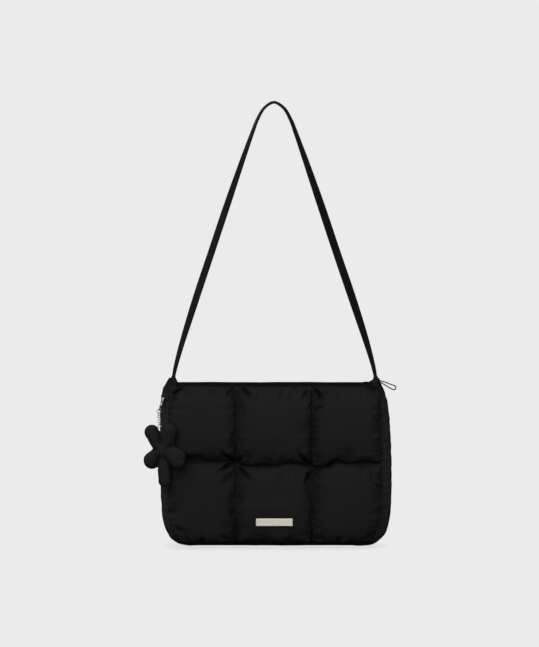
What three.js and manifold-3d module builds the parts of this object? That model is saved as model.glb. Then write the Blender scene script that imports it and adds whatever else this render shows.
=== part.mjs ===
// A padded nylon shoulder bag, held up by its strap, with a puffy flower charm on a short chain.
// Millimetres, +Z up, -Y towards the front. The origin is the inside of the strap's highest point.
import * as THREE from "three";
import { mergeVertices } from "three/addons/utils/BufferGeometryUtils.js";
import Module from "manifold-3d";

const wasm = await Module();
wasm.setup();

// Driving dimensions
const GAP = 0.3;
const TOP_Z = -390.5;
const PANEL = { top: 4, middle: 108.2, bottom: 218.5, channels: [-53.5, 51.3], seam: 2.4, clear: 0.5 };
const PUFF = { front: 20, back: 13, edgePower: 2.3, roundness: 0.58, droop: 1.12 };
const GUSSET = { wall: 2, bottomBulge: 6.6, flatShare: 0.3, roll: 2.2 };
const STRAP = { width: 15, thick: 2.5, footZ: -397, leftTurn: 36, rightTurn: 43 };
const STRAP_SHIFT = { x: -0.7, from: -380, to: -200 };
const TAPE = { halfLength: 137, thick: 1.2, hem: 6, shoulder: 2, rise: 0.9, centreGap: 2.5, sink: 1.8 };
const TEETH = { left: -134, right: 122, halfWidth: 2.2, low: -3.1, high: -1.3, ease: 0.6 };
const SLIDER = { x: 128, length: 10, halfWidth: 4, web: 0.9, low: -0.6, high: 0.5, chamfer: 0.8 };
const SLIDER_FOOT = { halfWidth: 3.4, low: -5, high: -3.6 };
const ARCH = { width: 2.4, low: 4, top: 3.2, height: 1.9, bar: 0.7, sink: 0.6, holeLow: 2.4, holeTop: 2 };
const PULL_CORD = { diameter: 1.6, sides: 8, steps: 40 };
const PLATE = { x: -0.4, z: -579.1, width: 50.1, height: 10.6, thick: 1.2, bevel: 0.4 };
const PLATE_SEAT = { press: 1.2, margin: 14 };
const BAR = { x: -154, y: -18.2, z: -411.5, thick: 1.2, tall: 1.4, end: 1.9, rise: 6, clear: 0.4 };
const CHARM = { lean: -22, swing: 17.5, chainSwing: -6.6, turn: -90 };
const CLASP = { half: 3.5, slot: 1.75, thick: 2.4, crown: -0.25, tip: -2.2, base: -8.6, foot: -11 };
const LEVER = { x: 2.6, pivot: -7.6, half: 0.65, top: -2.5, thick: 1.8 };
const KNOB = { out: 0.8, low: -5.8, high: -4.2, ease: 0.4 };
const EYE = { z: -15.8, outer: 2.1, hole: 1.2, neck: 52 };
const RING = { radius: 3, wire: 0.55, lift: 0.2 };
const LINK = { count: 5, halfLength: 2.4, halfWidth: 1.7, wire: 0.45 };
const FLOWER_RING = { radius: 2.5, wire: 0.5 };
const FLOWER = { x: -152.9, y: -43, z: -482, yaw: -18, flat: 0.8, neck: 6.6, heart: 12.6 };
const FLOWER_LOOP = { halfLength: 11.5, halfWidth: 2.2, wire: 0.7 };

// Sections of the bag by depth below the zip: half width at the panel's seam, half depth of the gusset,
// and how far the gusset swells past the seam on the left and on the right.
const SECTIONS = [
  { depth: -7.5, seam: 143.3, half: 8, left: 1.5, right: 1.5 },
  { depth: -2, seam: 143.9, half: 8.8, left: 6.6, right: 3.4 },
  { depth: 4, seam: 144.6, half: 9.5, left: 10.4, right: 6.2 },
  { depth: 10, seam: 145.8, half: 11.5, left: 11.6, right: 8.4 },
  { depth: 30, seam: 147, half: 16.5, left: 12.2, right: 10.8 },
  { depth: 70, seam: 147.6, half: 20.5, left: 11.8, right: 13.4 },
  { depth: 120, seam: 147.8, half: 22, left: 10.8, right: 14.8 },
  { depth: 160, seam: 147.4, half: 22, left: 10.2, right: 14.4 },
  { depth: 184, seam: 145.4, half: 22, left: 10.2, right: 15 },
  { depth: 198, seam: 142, half: 22, left: 9.8, right: 15.6 },
  { depth: 208, seam: 137, half: 22, left: 9.6, right: 16.6 },
  { depth: 214.5, seam: 130.5, half: 22, left: 9.6, right: 17.6 },
  { depth: 218.5, seam: 118.5, half: 22, left: 9.6, right: 17.6 },
];

// Folds pulled into the front by its stitched crossings and corners: middle, direction, size.
const FOLDS = [
  { x: -67, z: -489, angle: -38, length: 34, width: 5, deep: 4 },
  { x: -41, z: -490, angle: 32, length: 26, width: 5, deep: 3 },
  { x: -71, z: -510, angle: 30, length: 36, width: 5, deep: 3.5 },
  { x: -39, z: -518, angle: -56, length: 44, width: 5, deep: 4 },
  { x: 39, z: -488, angle: -52, length: 40, width: 6, deep: 5 },
  { x: 71, z: -495, angle: 24, length: 42, width: 6, deep: 4.5 },
  { x: 42, z: -522, angle: 64, length: 40, width: 5, deep: 4 },
  { x: 67, z: -518, angle: -40, length: 38, width: 5, deep: 3.5 },
  { x: -65, z: -407, angle: 48, length: 26, width: 5, deep: 3 },
  { x: -38, z: -408, angle: -46, length: 30, width: 5, deep: 3.5 },
  { x: 64, z: -410, angle: -48, length: 34, width: 5, deep: 3.5 },
  { x: -134, z: -402, angle: 52, length: 34, width: 5, deep: 4 },
];

// The strap's right leg, from its peak to its foot: place, and the share of its full turn to the front.
const STRAP_LEG = [
  { x: 0, z: 2, turn: 0.3 },
  { x: 13.5, z: -5.8, turn: 0.32 },
  { x: 23.4, z: -22.4, turn: 0.36 },
  { x: 30.2, z: -40, turn: 0.45 },
  { x: 42, z: -73, turn: 0.65 },
  { x: 65, z: -140, turn: 0.95 },
  { x: 87.5, z: -207.5, turn: 1 },
  { x: 110, z: -274.5, turn: 1 },
  { x: 131.2, z: -341.6, turn: 0.66 },
  { x: 138.4, z: -372, turn: 0.24 },
  { x: 139.7, z: -383, turn: 0.04 },
  { x: 139.7, z: STRAP.footZ, turn: 0 },
];

// The pull cord's route: out of the slider's arch, behind the strap's foot, round its loop and back.
const PULL_ROUTE = [
  { x: 132.4, y: 1.1, z: -389 },
  { x: 135.2, y: 5.2, z: -387.4 },
  { x: 139, y: 9.8, z: -386.2 },
  { x: 145, y: 11.8, z: -386.4 },
  { x: 149, y: 11.6, z: -387.5 },
  { x: 154, y: 11, z: -388.9 },
  { x: 160, y: 10.2, z: -391.2 },
  { x: 164.6, y: 9.4, z: -392.9 },
  { x: 168.4, y: 8.5, z: -394.3 },
  { x: 170, y: 8.2, z: -395.8 },
  { x: 170.1, y: 8, z: -398 },
  { x: 168.6, y: 8, z: -399.6 },
  { x: 166.4, y: 8.2, z: -399.7 },
  { x: 160, y: 9.5, z: -396.2 },
  { x: 152.4, y: 11.2, z: -391.6 },
  { x: 148, y: 12.8, z: -389 },
  { x: 145, y: 13.4, z: -387.8 },
  { x: 139.4, y: 10.8, z: -387.6 },
  { x: 135.6, y: 3.2, z: -388.9 },
  { x: 132.4, y: -1.1, z: -389 },
];

// The flower's petals: direction, distance of each lobe's middle, and its radius.
const PETALS = [
  { angle: 123.5, reach: 29.4, lobe: 10.4 },
  { angle: 66.7, reach: 29.8, lobe: 10.3 },
  { angle: 216, reach: 21.4, lobe: 10.7 },
  { angle: -22, reach: 24.8, lobe: 11.8 },
  { angle: -88, reach: 39.2, lobe: 9.2 },
];

const FINISHES = {
  padded: { color: 0x1c1c1d, roughness: 0.62, metalness: 0 },
  nylon: { color: 0x19191a, roughness: 0.66, metalness: 0 },
  webbing: { color: 0x1e1e1f, roughness: 0.7, metalness: 0 },
  zip: { color: 0x141415, roughness: 0.5, metalness: 0 },
  cord: { color: 0x171718, roughness: 0.8, metalness: 0 },
  plate: { color: 0xcdc8b9, roughness: 0.3, metalness: 1 },
  silver: { color: 0xc9c8c4, roughness: 0.22, metalness: 1 },
};

// A smooth function through the rows of a table, from one named column to another.
function through(rows, from, to) {
  const slopes = rows.map((row, i) => {
    const before = rows[Math.max(i - 1, 0)];
    const after = rows[Math.min(i + 1, rows.length - 1)];
    return (after[to] - before[to]) / (after[from] - before[from]);
  });
  return (at) => {
    const later = rows.findIndex((row) => row[from] >= at);
    const i = THREE.MathUtils.clamp(later < 0 ? rows.length : later, 1, rows.length - 1) - 1;
    const span = rows[i + 1][from] - rows[i][from];
    const s = THREE.MathUtils.clamp((at - rows[i][from]) / span, 0, 1);
    const rise = s * s * (3 - 2 * s);
    const bend = span * s * (1 - s) * (slopes[i] * (1 - s) - slopes[i + 1] * s);
    return rows[i][to] + (rows[i + 1][to] - rows[i][to]) * rise + bend;
  };
}

const seamAt = through(SECTIONS, "depth", "seam");
const halfAt = through(SECTIONS, "depth", "half");
const swellAt = { left: through(SECTIONS, "depth", "left"), right: through(SECTIONS, "depth", "right") };
const easeEnds = (s) => (1 - Math.cos(Math.PI * s)) / 2;
const radians = THREE.MathUtils.degToRad;

function bare(geometry) {
  const copy = geometry.clone();
  copy.deleteAttribute("normal");
  copy.deleteAttribute("uv");
  return mergeVertices(copy);
}

// A closed slab with two gridded faces. place(u, v, side) moves each grid point; side 1 is the outer face.
function slab(columns, rows, place) {
  const geometry = bare(new THREE.BoxGeometry(1, 1, 1, columns, rows, 1));
  const points = geometry.attributes.position;
  for (let i = 0; i < points.count; i++) {
    const moved = place(points.getX(i) + 0.5, points.getY(i) + 0.5, points.getZ(i) + 0.5);
    points.setXYZ(i, moved.x, moved.y, moved.z);
  }
  return geometry;
}

function solidOf(geometry) {
  const merged = bare(geometry);
  return new wasm.Manifold(
    new wasm.Mesh({
      numProp: 3,
      vertProperties: merged.attributes.position.array,
      triVerts: new Uint32Array(merged.index.array),
    }),
  );
}

function joined(geometries) {
  const made = geometries.map(solidOf).reduce((whole, piece) => whole.add(piece)).getMesh();
  return new THREE.BufferGeometry()
    .setAttribute("position", new THREE.BufferAttribute(made.vertProperties, 3))
    .setIndex(new THREE.BufferAttribute(made.triVerts, 1));
}

// An outline drawn as seen from the front, centred on y = 0 and as thick as asked along Y.
function frontCut(shape, thick, options = {}) {
  const plain = { depth: thick, bevelEnabled: false, curveSegments: 6 };
  const cut = new THREE.ExtrudeGeometry(shape, { ...plain, ...options });
  return cut.translate(0, 0, -thick / 2).rotateX(Math.PI / 2);
}

// An outline drawn in the Y-Z plane, running along X from one place to another.
function runAcross(shape, from, to) {
  const cut = new THREE.ExtrudeGeometry(shape, { depth: to - from, bevelEnabled: false });
  const turn = new THREE.Matrix4().makeBasis(
    new THREE.Vector3(0, 1, 0),
    new THREE.Vector3(0, 0, 1),
    new THREE.Vector3(1, 0, 0),
  );
  return cut.applyMatrix4(turn).translate(from, 0, 0);
}

function outline(points) {
  return new THREE.Shape(points.map(([a, b]) => new THREE.Vector2(a, b)));
}

const bag = new THREE.Group();

function addPart(name, geometry, finish, parent = bag) {
  const mesh = new THREE.Mesh(geometry, new THREE.MeshStandardMaterial(FINISHES[finish]));
  mesh.name = name;
  parent.add(mesh);
  return mesh;
}

// Quilted panels
function foldDepth(x, z) {
  let deepest = 0;
  for (const fold of FOLDS) {
    const turn = radians(fold.angle);
    const along = (x - fold.x) * Math.cos(turn) + (z - fold.z) * Math.sin(turn);
    const across = (z - fold.z) * Math.cos(turn) - (x - fold.x) * Math.sin(turn);
    const taper = Math.max(0, 1 - (along / (fold.length / 2)) ** 2);
    deepest = Math.max(deepest, fold.deep * taper * Math.exp(-((across / fold.width) ** 2)));
  }
  return deepest;
}

const dome = (s) => Math.max(0, 1 - Math.abs(2 * s - 1) ** PUFF.edgePower) ** PUFF.roundness;

function pillowPoint(columnPlace, rowPlace, crown) {
  const column = Math.min(Math.floor(columnPlace), 2);
  const row = Math.min(Math.floor(rowPlace), 1);
  const s = easeEnds(columnPlace - column);
  const t = easeEnds(rowPlace - row);
  const rowEdges = [PANEL.top, PANEL.middle, PANEL.bottom];
  const depth = THREE.MathUtils.lerp(rowEdges[row], rowEdges[row + 1], t);
  const columnEdges = [-seamAt(depth), ...PANEL.channels, seamAt(depth)];
  const x = THREE.MathUtils.lerp(columnEdges[column], columnEdges[column + 1], s);
  return { x, depth, z: TOP_Z - depth, puff: crown * dome(s) * dome(t ** PUFF.droop) };
}

// The plate's seat: a plane laid on the lower middle pillow, a little below its highest line there.
function frontPuffUnderPlate(z) {
  const t = (TOP_Z - z - PANEL.middle) / (PANEL.bottom - PANEL.middle);
  const middle = (PLATE.x - PANEL.channels[0]) / (PANEL.channels[1] - PANEL.channels[0]);
  return PUFF.front * dome(middle) * dome(t ** PUFF.droop);
}
const plateHigh = frontPuffUnderPlate(PLATE.z + PLATE.height / 2);
const plateLow = frontPuffUnderPlate(PLATE.z - PLATE.height / 2);
const SEAT = {
  slope: (plateHigh - plateLow) / PLATE.height,
  puff: frontPuffUnderPlate(PLATE.z) - PLATE_SEAT.press,
  halfWidth: PLATE.width / 2 + PLATE_SEAT.margin,
  halfHeight: PLATE.height / 2 + PLATE_SEAT.margin,
};

function pressedByPlate(point, puff) {
  const up = point.z - PLATE.z;
  const near = Math.abs(point.x - PLATE.x) < SEAT.halfWidth && Math.abs(up) < SEAT.halfHeight;
  return near ? Math.min(puff, SEAT.puff + SEAT.slope * up) : puff;
}

function frontPanel() {
  return slab(36, 26, (u, v, side) => {
    const point = pillowPoint(u * 3, (1 - v) * 2, PUFF.front);
    const puff = pressedByPlate(point, Math.max(0, point.puff - foldDepth(point.x, point.z)));
    const inner = halfAt(point.depth) + PANEL.clear;
    return new THREE.Vector3(point.x, -(inner + side * (PANEL.seam + puff)), point.z);
  });
}

function backPanel() {
  return slab(24, 18, (u, v, side) => {
    const point = pillowPoint((1 - u) * 3, (1 - v) * 2, PUFF.back);
    const inner = halfAt(point.depth) + PANEL.clear;
    return new THREE.Vector3(point.x, inner + side * (PANEL.seam + point.puff), point.z);
  });
}

// Gusset: one strip from the left end of the zip, down, under and up to the right end
function gussetStations() {
  const depths = [-7.5, -2, 4, 10, 20, 35, 55, 80, 110, 140, 165, 184, 195, 204, 210, 214.5, 217, 218.5];
  const side = (sign) => depths.map((depth) => ({ depth, x: sign * seamAt(depth), z: TOP_Z - depth }));
  const bottomHalf = seamAt(PANEL.bottom);
  const bottom = [-0.6, -0.2, 0.2, 0.6].map((share) => ({
    depth: PANEL.bottom,
    x: share * bottomHalf,
    z: TOP_Z - PANEL.bottom,
  }));
  return [...side(-1), ...bottom, ...side(1).reverse()];
}

function gusset() {
  const stations = gussetStations();
  const across = [-1, -0.86, -0.6, -GUSSET.flatShare, 0, GUSSET.flatShare, 0.6, 0.86, 1];
  return slab(stations.length - 1, across.length - 1, (u, v, side) => {
    const i = Math.round(u * (stations.length - 1));
    const here = stations[i];
    const before = stations[Math.max(i - 1, 0)];
    const after = stations[Math.min(i + 1, stations.length - 1)];
    const run = new THREE.Vector2(after.x - before.x, after.z - before.z).normalize();
    const out = new THREE.Vector2(run.y, -run.x);
    const onBottom = Math.abs(here.x) < seamAt(PANEL.bottom) - 1;
    if (onBottom) out.set(0, -1);
    const swell = (here.x < 0 ? swellAt.left : swellAt.right)(here.depth);
    const share = -across[Math.round(v * (across.length - 1))];
    const roll = Math.max(0, (Math.abs(share) - GUSSET.flatShare) / (1 - GUSSET.flatShare));
    const bulge = (swell * out.x ** 2 + GUSSET.bottomBulge * out.y ** 2) * (1 - roll ** GUSSET.roll);
    const off = bulge - (1 - side) * GUSSET.wall;
    return new THREE.Vector3(here.x + out.x * off, share * halfAt(here.depth), here.z + out.y * off);
  });
}

// Zip
function zipTape(sign) {
  const lowHalf = halfAt(PANEL.top + TAPE.hem) - GAP;
  const rimHalf = halfAt(PANEL.top) - GAP;
  const outer = [
    [lowHalf, TOP_Z - PANEL.top - TAPE.hem],
    [rimHalf, TOP_Z - PANEL.top],
    [rimHalf - TAPE.shoulder, TOP_Z + TAPE.rise],
    [TAPE.centreGap, TOP_Z - TAPE.sink],
  ];
  const inner = outer.map(([y, z], i) => (i < 2 ? [y - TAPE.thick, z] : [y, z - TAPE.thick]));
  inner[2][0] -= TAPE.thick / 2;
  const section = [...outer, ...inner.reverse()].map(([y, z]) => [sign * y, z]);
  return runAcross(outline(section), -TAPE.halfLength, TAPE.halfLength);
}

function zipTeeth() {
  const { halfWidth, low, high, ease } = TEETH;
  const rightSide = [
    [halfWidth - ease, low],
    [halfWidth, low + ease],
    [halfWidth, high - ease],
    [halfWidth - ease, high],
  ];
  const leftSide = rightSide.map(([y, z]) => [-y, z]).reverse();
  const section = [...rightSide, ...leftSide].map(([y, z]) => [y, TOP_Z + z]);
  return runAcross(outline(section), TEETH.left, TEETH.right);
}

function zipSlider() {
  const { x, length, halfWidth, web, low, high, chamfer } = SLIDER;
  const rightSide = [
    [SLIDER_FOOT.halfWidth, SLIDER_FOOT.low],
    [SLIDER_FOOT.halfWidth, SLIDER_FOOT.high],
    [web, SLIDER_FOOT.high],
    [web, low],
    [halfWidth, low],
    [halfWidth - chamfer, high],
  ];
  const leftSide = rightSide.map(([y, z]) => [-y, z]).reverse();
  const section = [...rightSide, ...leftSide].map(([y, z]) => [y, TOP_Z + z]);
  const body = runAcross(outline(section), x - length / 2, x + length / 2);
  const { low: archHalf, top, height, bar, sink, holeLow, holeTop } = ARCH;
  const arch = outline([[-archHalf, -sink], [archHalf, -sink], [top, height], [-top, height]]);
  const window = [[-holeLow, 0], [-holeTop, height - bar], [holeTop, height - bar], [holeLow, 0]];
  arch.holes.push(new THREE.Path(window.map(([a, b]) => new THREE.Vector2(a, b))));
  return joined([body, frontCut(arch, ARCH.width).translate(x, 0, TOP_Z + high)]);
}

function pullCord() {
  const route = new THREE.CatmullRomCurve3(PULL_ROUTE.map(({ x, y, z }) => new THREE.Vector3(x, y, z)));
  const section = new THREE.Shape();
  for (let i = 0; i < PULL_CORD.sides; i++) {
    const turn = (2 * Math.PI * i) / PULL_CORD.sides;
    const point = [Math.cos(turn), Math.sin(turn)].map((share) => (share * PULL_CORD.diameter) / 2);
    if (i === 0) section.moveTo(...point);
    else section.lineTo(...point);
  }
  const { steps } = PULL_CORD;
  return new THREE.ExtrudeGeometry(section, { extrudePath: route, steps, bevelEnabled: false });
}

// Strap
function strap() {
  const { x: shift, from, to } = STRAP_SHIFT;
  const leg = (sign, fullTurn) => ({ x, z, turn }) => ({
    x: sign * x + shift * THREE.MathUtils.smoothstep(z, from, to),
    z,
    turn: turn * fullTurn,
  });
  const rightLeg = STRAP_LEG.map(leg(1, STRAP.rightTurn));
  const leftLeg = STRAP_LEG.slice(1).map(leg(-1, STRAP.leftTurn));
  const knots = [...leftLeg.reverse(), ...rightLeg];
  const places = knots.map(({ x, z }) => new THREE.Vector3(x, 0, z));
  const line = new THREE.CatmullRomCurve3(places, false, "centripetal");
  const turns = knots.map(({ turn }, at) => ({ at, turn }));
  const turnAt = through(turns, "at", "turn");
  return slab(72, 2, (u, v, side) => {
    const middle = line.getPoint(u);
    const run = line.getTangent(u);
    const turn = radians(turnAt(u * (knots.length - 1)));
    const flat = new THREE.Vector3(-run.z, 0, run.x);
    const wide = new THREE.Vector3(0, Math.cos(turn), 0).addScaledVector(flat, Math.sin(turn));
    const out = new THREE.Vector3(0, -Math.sin(turn), 0).addScaledVector(flat, Math.cos(turn));
    middle.addScaledVector(wide, (v - 0.5) * STRAP.width);
    return middle.addScaledVector(out, (side - 0.5) * STRAP.thick);
  });
}

// Metal plate
function plate() {
  const { width, height, thick, bevel } = PLATE;
  const [w, h] = [width / 2 - bevel, height / 2 - bevel];
  const face = outline([[-w, -h], [w, -h], [w, h], [-w, h]]);
  const bevels = { bevelEnabled: true, bevelThickness: bevel, bevelSize: bevel, bevelSegments: 1 };
  return frontCut(face, thick - 2 * bevel, bevels);
}

// Charm: the clasp hangs from the lower bar of the fabric loop, with the ring, chain and flower below it
function charmLoop() {
  const near = -seamAt(TOP_Z - BAR.z) - BAR.clear;
  const inner = BAR.x - BAR.end;
  const left = inner - BAR.thick;
  const [low, high] = [BAR.z - BAR.tall / 2, BAR.z + BAR.rise];
  const ease = BAR.thick / 2;
  const rounded = [[near, low], [near, high], [left + ease, high], [left, high - ease], [left, low + ease]];
  const ring = outline([...rounded, [left + ease, low]]);
  const inset = BAR.tall;
  const hole = [[near - inset, low + inset], [inner, low + inset]];
  hole.push([inner, high - inset], [near - inset, high - inset]);
  ring.holes.push(new THREE.Path(hole.map(([x, z]) => new THREE.Vector2(x, z))));
  return frontCut(ring, BAR.thick).translate(0, BAR.y, 0);
}

function claspBody() {
  const { half, slot, thick, crown, tip, base, foot } = CLASP;
  const neck = radians(EYE.neck);
  const shape = new THREE.Shape().moveTo(slot, tip).lineTo(half, tip).lineTo(half, crown);
  shape.absarc(0, crown, half, 0, Math.PI, false).lineTo(-half, foot);
  shape.absarc(0, EYE.z, EYE.outer, Math.PI - neck, neck, false);
  shape.lineTo(half, foot).lineTo(half, base).lineTo(-slot, base).lineTo(-slot, crown);
  shape.absarc(0, crown, slot, Math.PI, 0, true);
  shape.holes.push(new THREE.Path().absarc(0, EYE.z, EYE.hole, 0, 2 * Math.PI, true));
  return frontCut(shape, thick);
}

function claspLever() {
  const { x, pivot, half, top, thick } = LEVER;
  const edge = x + half;
  const shape = new THREE.Shape().moveTo(edge, pivot).lineTo(edge, KNOB.low);
  shape.lineTo(edge + KNOB.out, KNOB.low + KNOB.ease).lineTo(edge + KNOB.out, KNOB.high - KNOB.ease);
  shape.lineTo(edge, KNOB.high).lineTo(edge, top).lineTo(x - half, top).lineTo(x - half, pivot);
  shape.absarc(x, pivot, half, Math.PI, 2 * Math.PI, false);
  return frontCut(shape, thick);
}

// A wire loop standing in the X-Z plane, or turned a quarter about Z.
function wireLoop(halfWidth, halfLength, wire, quarter) {
  const torus = new THREE.TorusGeometry(halfWidth, wire, 6, 14);
  const points = torus.attributes.position;
  const stretch = halfLength - halfWidth;
  for (let i = 0; i < points.count; i++) {
    const end = Math.sign(Math.round(points.getY(i) * 1000));
    points.setY(i, points.getY(i) + stretch * end);
  }
  torus.rotateX(Math.PI / 2);
  return quarter ? torus.rotateZ(Math.PI / 2) : torus;
}

const charm = new THREE.Group();
charm.position.set(BAR.x, BAR.y, BAR.z);
charm.rotation.set(radians(CHARM.lean), radians(CHARM.swing), radians(CHARM.turn));
bag.add(charm);
const chain = new THREE.Group();
chain.rotation.set(radians(CHARM.lean), radians(CHARM.chainSwing), radians(CHARM.turn));
bag.add(chain);

// The chain starts at the lowest point of the ring's wire.
function addChain() {
  const ringZ = EYE.z - RING.radius + RING.lift;
  const ring = wireLoop(RING.radius, RING.radius, RING.wire, true);
  addPart("charm_ring", ring, "silver", charm).position.z = ringZ;
  charm.updateMatrixWorld(true);
  chain.position.copy(charm.localToWorld(new THREE.Vector3(0, 0, ringZ - RING.radius)));
  let wireZ = 0;
  let wireHalf = RING.wire;
  for (let i = 1; i <= LINK.count; i++) {
    const linkZ = wireZ + wireHalf + LINK.wire + GAP - LINK.halfLength;
    const link = wireLoop(LINK.halfWidth, LINK.halfLength, LINK.wire, i % 2 === 0);
    addPart(`chain_link_${i}`, link, "silver", chain).position.z = linkZ;
    wireZ = linkZ - LINK.halfLength;
    wireHalf = LINK.wire;
  }
  const lastZ = wireZ + wireHalf + FLOWER_RING.wire + GAP - FLOWER_RING.radius;
  const { radius, wire } = FLOWER_RING;
  const lastRing = wireLoop(radius, radius, wire, LINK.count % 2 === 1);
  addPart("flower_ring", lastRing, "silver", chain).position.z = lastZ;
  return lastZ - FLOWER_RING.radius;
}

// Flower
function petal({ angle, reach, lobe }) {
  const profile = [new THREE.Vector2(0, 0), new THREE.Vector2(FLOWER.neck, 1)];
  profile.push(new THREE.Vector2(FLOWER.neck, reach - lobe * 1.1));
  for (const turn of [-40, -5, 25, 50, 72]) {
    const tilt = radians(turn);
    profile.push(new THREE.Vector2(lobe * Math.cos(tilt), reach + lobe * Math.sin(tilt)));
  }
  profile.push(new THREE.Vector2(0, reach + lobe));
  const club = new THREE.LatheGeometry(profile, 12);
  return club.scale(1, 1, FLOWER.flat).rotateZ(radians(angle - 90)).rotateX(Math.PI / 2);
}

function flower(hangZ) {
  const heart = new THREE.SphereGeometry(FLOWER.heart, 14, 8).scale(1, 0.85, 1);
  const place = new THREE.Matrix4().makeRotationZ(radians(FLOWER.yaw));
  place.setPosition(FLOWER.x, FLOWER.y, FLOWER.z);
  const puffs = [heart, ...PETALS.map(petal)].map((piece) => piece.applyMatrix4(place));
  chain.updateMatrixWorld(true);
  const loopTop = hangZ + FLOWER_RING.wire + FLOWER_LOOP.wire + GAP;
  const { halfWidth, halfLength, wire } = FLOWER_LOOP;
  const loop = wireLoop(halfWidth, halfLength, wire, LINK.count % 2 === 0);
  loop.translate(0, 0, loopTop - halfLength).applyMatrix4(chain.matrixWorld);
  return joined([...puffs, loop]);
}

addPart("front_panel", frontPanel(), "padded");
addPart("back_panel", backPanel(), "padded");
addPart("gusset", gusset(), "nylon");
addPart("zip_tape_front", zipTape(-1), "zip");
addPart("zip_tape_back", zipTape(1), "zip");
addPart("zip_teeth", zipTeeth(), "zip");
addPart("zip_slider", zipSlider(), "zip");
addPart("zip_pull_cord", pullCord(), "cord");
addPart("strap", strap(), "webbing");
const plateMesh = addPart("plate", plate(), "plate");
const seatY = -(halfAt(TOP_Z - PLATE.z) + PANEL.clear + PANEL.seam + SEAT.puff);
plateMesh.rotation.x = Math.atan(SEAT.slope);
plateMesh.position.set(PLATE.x, seatY - GAP - PLATE.thick / 2, PLATE.z);
addPart("charm_loop", charmLoop(), "nylon");
addPart("clasp_body", claspBody(), "silver", charm);
addPart("clasp_lever", claspLever(), "silver", charm);
const chainEnd = addChain();
addPart("charm_flower", flower(chainEnd), "padded");

export default bag;
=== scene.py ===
"""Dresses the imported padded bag: quilted nylon panels, gusset, zip, strap, plate and flower charm.

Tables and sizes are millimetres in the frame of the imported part, and MM turns them into metres.
+Z is up, -Y is the front, and the origin lies under the strap's highest point.
"""

from __future__ import annotations

import logging
import math
from dataclasses import dataclass
from enum import Enum
from functools import lru_cache
from typing import Any, NamedTuple, Optional, Sequence, Union

import bmesh
import bpy
import numpy as np
from mathutils import Matrix, Vector


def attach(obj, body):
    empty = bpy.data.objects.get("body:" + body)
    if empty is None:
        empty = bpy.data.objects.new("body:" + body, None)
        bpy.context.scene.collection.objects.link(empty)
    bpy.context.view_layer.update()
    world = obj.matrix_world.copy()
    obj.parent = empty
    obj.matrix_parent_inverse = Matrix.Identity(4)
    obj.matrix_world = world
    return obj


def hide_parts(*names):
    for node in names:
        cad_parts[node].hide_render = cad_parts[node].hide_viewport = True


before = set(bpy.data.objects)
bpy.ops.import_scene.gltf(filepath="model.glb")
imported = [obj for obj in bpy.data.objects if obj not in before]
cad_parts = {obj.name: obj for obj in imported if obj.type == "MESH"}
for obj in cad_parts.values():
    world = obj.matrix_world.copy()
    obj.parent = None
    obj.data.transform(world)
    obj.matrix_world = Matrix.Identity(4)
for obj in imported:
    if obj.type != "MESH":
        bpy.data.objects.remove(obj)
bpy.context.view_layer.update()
log = logging.getLogger("padded_bag")

MM = 0.001
NEAR_ZERO = 1e-9  # least length that is divided by
TINY = 1e-3  # least rise of a pillow, of which negative powers are taken
WELD = 0.01 * MM  # distance under which two points of a solid are one
BAG = "bag"
LEVER_BODY = "clasp_lever"
SEED = 11  # first seed of the random waves
SHADE = "hollow_shade"  # the attribute of painted shade, which darkens the cloth's colour in seams, folds and other shaded places

Array = np.ndarray
Faces = list[tuple[int, ...]]
Triple = tuple[float, float, float]
Colour = Triple
Range = tuple[float, float]
Number = Union["Wire", float]


class Section(NamedTuple):
    """One level of the bag, by depth below the zip."""

    depth: float  # distance below the zip's line
    seam: float  # half the width at the panels' seams
    half: float  # half the gusset's depth from front to back
    left: float  # how far the gusset swells past the left seam
    right: float  # how far it swells past the right seam


SECTIONS = (
    Section(-7.5, 143.3, 8.0, 1.5, 1.5),
    Section(-2.0, 143.9, 8.8, 6.6, 3.4),
    Section(4.0, 144.6, 9.5, 10.4, 6.2),
    Section(10.0, 145.8, 11.5, 11.6, 8.4),
    Section(30.0, 147.0, 16.5, 12.2, 10.8),
    Section(70.0, 147.6, 20.5, 11.8, 13.4),
    Section(120.0, 147.8, 22.0, 10.8, 14.8),
    Section(160.0, 147.4, 22.0, 10.2, 14.4),
    Section(184.0, 145.4, 22.0, 10.2, 15.0),
    Section(198.0, 142.0, 22.0, 9.8, 15.6),
    Section(208.0, 137.0, 22.0, 9.6, 16.6),
    Section(214.5, 130.5, 22.0, 9.6, 17.6),
    Section(218.5, 118.5, 22.0, 9.6, 17.6),
)


class SmoothTable:
    """A smooth function through the rows of a table, level past its ends."""

    def __init__(self, at: Sequence[float], values: Sequence[float]) -> None:
        """Keeps the rows and works out a slope at each.

        Args:
            at: Rising places.
            values: The value at each place.
        """
        self.at = np.asarray(at, dtype=float)
        self.values = np.asarray(values, dtype=float)
        last = len(self.at) - 1
        before = np.maximum(np.arange(last + 1) - 1, 0)
        after = np.minimum(np.arange(last + 1) + 1, last)
        self.slopes = (self.values[after] - self.values[before]) / (self.at[after] - self.at[before])

    def __call__(self, where: Any) -> Array:
        """Reads the table.

        Args:
            where: One place or an array of them.

        Returns:
            The value at each place.
        """
        where = np.asarray(where, dtype=float)
        row = np.clip(np.searchsorted(self.at, where), 1, len(self.at) - 1) - 1
        span = self.at[row + 1] - self.at[row]
        share = np.clip((where - self.at[row]) / span, 0.0, 1.0)
        rise = share * share * (3.0 - 2.0 * share)
        pull = self.slopes[row] * (1.0 - share) - self.slopes[row + 1] * share
        bend = span * share * (1.0 - share) * pull
        return self.values[row] + (self.values[row + 1] - self.values[row]) * rise + bend


def smooth_step(value: Any, low: float, high: float) -> Array:
    """Rises smoothly from 0 at low to 1 at high."""
    share = np.clip((np.asarray(value, dtype=float) - low) / (high - low), 0.0, 1.0)
    return share * share * (3.0 - 2.0 * share)


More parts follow.
